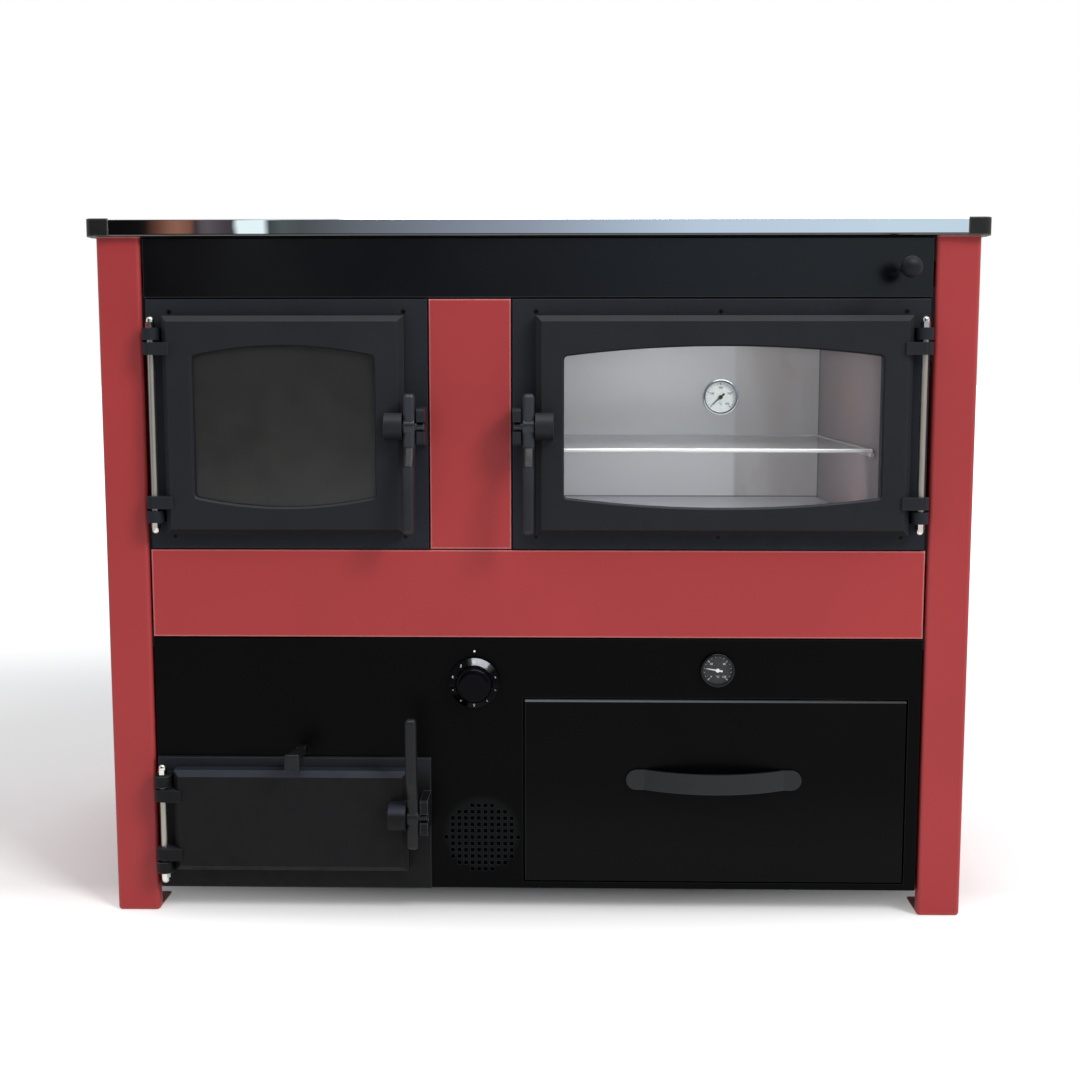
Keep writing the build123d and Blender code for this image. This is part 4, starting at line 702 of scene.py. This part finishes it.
knob = middle("thermostat_knob")
skirt_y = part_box("thermostat_knob")[1].y - SKIRT_T
slope = sin(BEVEL) / cos(BEVEL)
bm = bmesh.new()
lathe(bm, [(DOME_R, skirt_y), (DOME_R, skirt_y - (BEVEL_END - DOME_R) * slope),
           (BEVEL_END, skirt_y - 0.0001), (BEVEL_END, skirt_y)], knob, 96)
finish_piece("knob_bevel", bm, "thermostat_knob", polished_bevel(), True)

bm = bmesh.new()
figure_y = skirt_y - (BEVEL_END - SCALE_R) * slope - 0.0003
for i in range(MARKS):
    a = radians(90 - 360 / MARKS * i)
    figure(bm, str(i), KNOB_FIGURE, knob.x + SCALE_R * cos(a), figure_y, knob.z + SCALE_R * sin(a),
           a - pi / 2, BEVEL)
finish_piece("knob_figures", bm, "thermostat_knob", white_ink)

bm = bmesh.new()
panel_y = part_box("lower_front_panel")[0].y
lathe(bm, [(0, panel_y - 0.0004), (0.0011, panel_y - 0.0003), (0.0014, panel_y)],
      Vector((knob.x, 0, knob.z + DOT_RISE)), 20)
finish_piece("knob_reference_dot", bm, "stove_body", white_ink, True)


# ------------------------------------------------------------------ screws
HEAD_REACH = 0.012            # vertices nearer than this belong to the same screw head
SOCKET_R = 0.0022
SCREW_PROFILE = [(0, 0.0022), (0.002, 0.002), (0.0035, 0.0012), (0.004, 0)]     # radius and height


def heads_of(node):
    """Centre of each separate head in a node of screws that face the front."""
    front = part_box(node)[0].y
    groups = []
    for vertex in nodes[node].data.vertices:
        if vertex.co.y < front + 0.0001:
            near = [g for g in groups if (g[0] - vertex.co).length < HEAD_REACH]
            if near:
                near[0].append(vertex.co.copy())
            else:
                groups.append([vertex.co.copy()])
    return [Vector([(min(c) + max(c)) / 2 for c in zip(*g)]) for g in groups]


# Flat black hexagons on the screw heads: painted shade standing in for their sockets.
bm = bmesh.new()
for head in heads_of("frame_screws"):
    lathe(bm, [(0, head.y - 0.0001), (SOCKET_R, head.y - 0.0001)], head, 6)
finish_piece("screw_sockets", bm, "stove_body", socket_shade)

rear_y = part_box("rear_panel")[1].y
rear_spots = [(x, z) for x in (-0.455, -0.15, 0.15, 0.455) for z in (0.05, 0.815)]
rear_spots += [(x, z) for x in (-0.455, 0.455) for z in (0.3, 0.56)]
bm = bmesh.new()
for x, z in rear_spots:
    lathe(bm, [(r, rear_y + rise) for r, rise in SCREW_PROFILE], Vector((x, 0, z)), 24)
finish_piece("rear_panel_screws", bm, "stove_body", nut_metal, True)


# ------------------------------------------------------------------ inner lining beside the drawer
def box_mesh(bm, low, high):
    """Box between two corners."""
    made = bmesh.ops.create_cube(bm, size=1)["verts"]
    for v in made:
        v.co = Vector([low[i] if v.co[i] < 0 else high[i] for i in range(3)])


INNER_SHEET = 0.0008          # thickness of the lining
base_low, base_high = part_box("base_panel")
band_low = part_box("middle_band")[0]
bm = bmesh.new()
for side in (-1, 1):
    x0, x1 = sorted((side * base_high.x, side * (base_high.x + INNER_SHEET)))
    box_mesh(bm, (x0, base_low.y, base_low.z), (x1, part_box("rear_panel")[0].y, band_low.z))
finish_piece("inner_side_sheets", bm, "stove_body", black_sheet)

# ------------------------------------------------------------------ camera
camera_data = bpy.data.cameras.new("camera")
camera_data.sensor_width = 36
camera_data.lens = 48.77
camera = bpy.data.objects.new("camera", camera_data)
camera.location = (0.0408, -2.0567, 0.6732)
camera.rotation_euler = (radians(90 - 6.66), 0, radians(1.18))
scene.collection.objects.link(camera)
scene.camera = camera


# ------------------------------------------------------------------ stage
def stage_plane(name, corners, mat):
    """Flat part of the studio, kept out of the model."""
    mesh = bpy.data.meshes.new(name)
    mesh.from_pydata([Vector(c) for c in corners], [], [list(range(len(corners)))])
    plane = bpy.data.objects.new(name, mesh)
    scene.collection.objects.link(plane)
    plane.data.materials.append(mat)
    return plane


def only_in_reflections(plane):
    """Hide a part of the studio from everything but gloss."""
    plane.visible_camera = False
    plane.visible_diffuse = False
    plane.visible_shadow = False


def seen_by(tree, *kinds):
    """1 where a ray of one of these kinds meets the stage, else 0."""
    path = tree.nodes.new("ShaderNodeLightPath")
    value = path.outputs[kinds[0]]
    for name in kinds[1:]:
        node = tree.nodes.new("ShaderNodeMath")
        node.operation = "MAXIMUM"
        tree.links.new(value, node.inputs[0])
        tree.links.new(path.outputs[name], node.inputs[1])
        value = node.outputs[0]
    return value


FLOOR_COLOUR = (0.86, 0.86, 0.86, 1)
FLOOR = 40                    # how far the floor reaches to the sides and the front
FLOOR_BACK = 60
# What the floor glows with for the camera, so that it runs into the white behind and keeps the shadow:
# under the part, around it, and added in front of it, far away and at its right.
UNDER_GLOW, NEAR_GLOW, FRONT_GLOW, FAR_GLOW, RIGHT_GLOW = 0.02, 0.2, 0.5, 0.6, 0.16
# The same for reflections, which would clip to white with the camera's glow: around the part, and in front.
MIRROR_GLOW, MIRROR_FRONT = 0.05, 0.62


def studio_floor():
    """Pale floor with the glow above."""
    b = Build("studio_floor", FLOOR_COLOUR, 0.9, spec=0.0)
    b.vary(FLOOR_COLOUR, 0.004, 0.6)
    _, away = b.from_centre((0, 0, 0), (1, 1, 1))
    strength = b.math("ADD", b.ramp(away, 0.3, 0.75, UNDER_GLOW, NEAR_GLOW),
                      b.ramp(away, 1.2, 4.0, 0.0, FAR_GLOW))
    in_front = b.ramp(b.axis("Y"), -0.21, -0.40)
    strength = b.math("ADD", strength, b.math("MULTIPLY", in_front, FRONT_GLOW))
    strength = b.math("ADD", strength, b.ramp(b.axis("X"), 0.5, 0.62, 0.0, RIGHT_GLOW))
    direct = b.math("MULTIPLY", seen_by(b.tree, "Is Camera Ray", "Is Transmission Ray"), strength)
    central = b.ramp(b.math("ABSOLUTE", b.axis("X")), 1.4, 1.0)
    facing = b.math("MULTIPLY", in_front, central)
    mirrored = b.math("MULTIPLY", seen_by(b.tree, "Is Glossy Ray"),
                      b.ramp(facing, 0.0, 1.0, MIRROR_GLOW, MIRROR_FRONT))
    glow = b.add("ShaderNodeEmission")
    b.link(b.math("ADD", direct, mirrored), glow.inputs["Strength"])
    both = b.add("ShaderNodeAddShader")
    b.link(b.shader.outputs[0], both.inputs[0])
    b.link(glow.outputs[0], both.inputs[1])
    b.link(both.outputs[0], b.out.inputs[0])
    return b.mat


floor_corners = [(-FLOOR, -FLOOR, 0), (FLOOR, -FLOOR, 0), (FLOOR, FLOOR_BACK, 0), (-FLOOR, FLOOR_BACK, 0)]
stage_plane("floor", floor_corners, studio_floor())


def glow_material(name):
    """Material of light alone, its tree and its emission node."""
    mat = bpy.data.materials.new(name)
    mat.use_nodes = True
    tree = mat.node_tree
    tree.nodes.clear()
    glow = tree.nodes.new("ShaderNodeEmission")
    tree.links.new(glow.outputs[0], tree.nodes.new("ShaderNodeOutputMaterial").inputs[0])
    return mat, tree, glow


RAGGED = 0.03                 # how far the wall's upright borders wander
WALL_X = 8                    # half its width
WALL_FOOT = 0.7               # height where the lower wall ends and the upper one starts
WALL_TOP = 7.0
WALL_Y, LOW_WALL_Y = -6, -6.05


def glowing_wall(name, bottom, top, y, stops):
    """Wall in front of the stove, seen only in reflections; its colour changes from left to right."""
    mat, tree, glow = glow_material(name)
    where = tree.nodes.new("ShaderNodeTexCoord")
    split = tree.nodes.new("ShaderNodeSeparateXYZ")
    tree.links.new(where.outputs["Object"], split.inputs[0])
    ragged = tree.nodes.new("ShaderNodeTexNoise")
    ragged.inputs["Scale"].default_value = 9.0
    tree.links.new(where.outputs["Object"], ragged.inputs["Vector"])
    shifted = tree.nodes.new("ShaderNodeMath")
    shifted.operation = "MULTIPLY_ADD"
    shifted.inputs[1].default_value = RAGGED
    tree.links.new(ragged.outputs["Fac"], shifted.inputs[0])
    tree.links.new(split.outputs["X"], shifted.inputs[2])
    scale = tree.nodes.new("ShaderNodeMapRange")
    x0, x1 = stops[0][0], stops[-1][0]
    scale.inputs["From Min"].default_value = x0 + RAGGED / 2
    scale.inputs["From Max"].default_value = x1 + RAGGED / 2
    tree.links.new(shifted.outputs[0], scale.inputs["Value"])
    ramp = tree.nodes.new("ShaderNodeValToRGB")
    elements = ramp.color_ramp.elements
    while len(elements) > 1:
        elements.remove(elements[-1])
    for i, (x, colour) in enumerate(stops):
        place = (x - x0) / (x1 - x0)
        element = elements[0] if i == 0 else elements.new(place)
        element.position = place
        element.color = colour
    tree.links.new(scale.outputs[0], ramp.inputs[0])
    tree.links.new(ramp.outputs[0], glow.inputs["Color"])
    corners = [(-WALL_X, y, bottom), (WALL_X, y, bottom), (WALL_X, y, top), (-WALL_X, y, top)]
    only_in_reflections(stage_plane(name, corners, mat))


# X on the wall and its glow there: a dark end, a warm patch, a bright narrow gap, then a room that grows paler.
ROOM_STOPS = [
    (-4.0, srgb(20, 22, 24)), (-2.22, srgb(14, 14, 15)), (-2.10, srgb(20, 19, 19)),
    (-2.03, srgb(100, 66, 54)), (-1.95, srgb(148, 102, 85)), (-1.875, srgb(128, 84, 70)),
    (-1.86, srgb(44, 30, 30)), (-1.80, srgb(98, 90, 94)), (-1.665, srgb(66, 60, 64)),
    (-1.65, srgb(68, 64, 68)), (-1.636, srgb(240, 255, 255)), (-1.500, srgb(242, 255, 255)),
    (-1.488, srgb(58, 66, 68)), (-1.41, srgb(84, 92, 90)), (-1.31, srgb(80, 83, 86)),
    (-0.14, srgb(150, 158, 172)), (0.66, srgb(192, 207, 222)), (1.66, srgb(206, 222, 233)),
    (4.0, srgb(200, 216, 228)),
]
LOW_STOPS = [(-4.0, srgb(70, 74, 78)), (4.0, srgb(120, 128, 134))]
glowing_wall("studio_wall", WALL_FOOT, WALL_TOP, WALL_Y, ROOM_STOPS)
glowing_wall("studio_low_wall", 0, WALL_FOOT, LOW_WALL_Y, LOW_STOPS)

# Strip of light over the front, seen only in reflections.
STRIP_GLOW = 12.0
strip_mat, _, strip_light = glow_material("strip_glow")
strip_light.inputs["Strength"].default_value = STRIP_GLOW
strip_corners = [(-0.6, -2.3, 3), (2.6, -2.3, 3), (2.6, -1.2, 3), (-0.6, -1.2, 3)]
only_in_reflections(stage_plane("studio_strip", strip_corners, strip_mat))


# ------------------------------------------------------------------ lamps and world
def area(name, place, target, size, size_y, power):
    """Warm white area lamp that lights surfaces and isn't mirrored in them."""
    data = bpy.data.lights.new(name, "AREA")
    data.energy = power
    data.color = (1.0, 0.99, 0.97)
    data.shape = "RECTANGLE"
    data.size = size
    data.size_y = size_y
    light = bpy.data.objects.new(name, data)
    light.location = place
    light.rotation_euler = (Vector(target) - Vector(place)).to_track_quat("-Z", "Y").to_euler()
    scene.collection.objects.link(light)
    light.visible_glossy = False


area("key", (6.5, -6.5, 6.5), (0, 0, 0.4), 3.0, 3.0, 640)
area("upper_oven_light", (0.19, -0.28, 0.685), (0.19, 0.1, 0.53), 0.24, 0.06, 0.7)
area("lower_oven_light", (0.215, -0.22, 0.56), (0.215, 0.1, 0.45), 0.3, 0.03, 0.53)

WORLD_LIGHT = 0.66            # what the object is lit with; whoever looks at the world sees white


def studio_world():
    """Even light from all round, white where it is seen."""
    world = bpy.data.worlds.new("studio")
    world.use_nodes = True
    tree = world.node_tree
    tree.nodes.clear()
    seen = tree.nodes.new("ShaderNodeBackground")
    seen.inputs["Color"].default_value = (1, 1, 1, 1)
    lit = tree.nodes.new("ShaderNodeBackground")
    lit.inputs["Strength"].default_value = WORLD_LIGHT
    lit.inputs["Color"].default_value = (0.97, 0.985, 1, 1)
    mix = tree.nodes.new("ShaderNodeMixShader")
    tree.links.new(seen_by(tree, "Is Camera Ray", "Is Glossy Ray", "Is Transmission Ray"), mix.inputs[0])
    tree.links.new(lit.outputs[0], mix.inputs[1])
    tree.links.new(seen.outputs[0], mix.inputs[2])
    tree.links.new(mix.outputs[0], tree.nodes.new("ShaderNodeOutputWorld").inputs[0])
    scene.world = world


studio_world()
scene.view_settings.view_transform = "Standard"
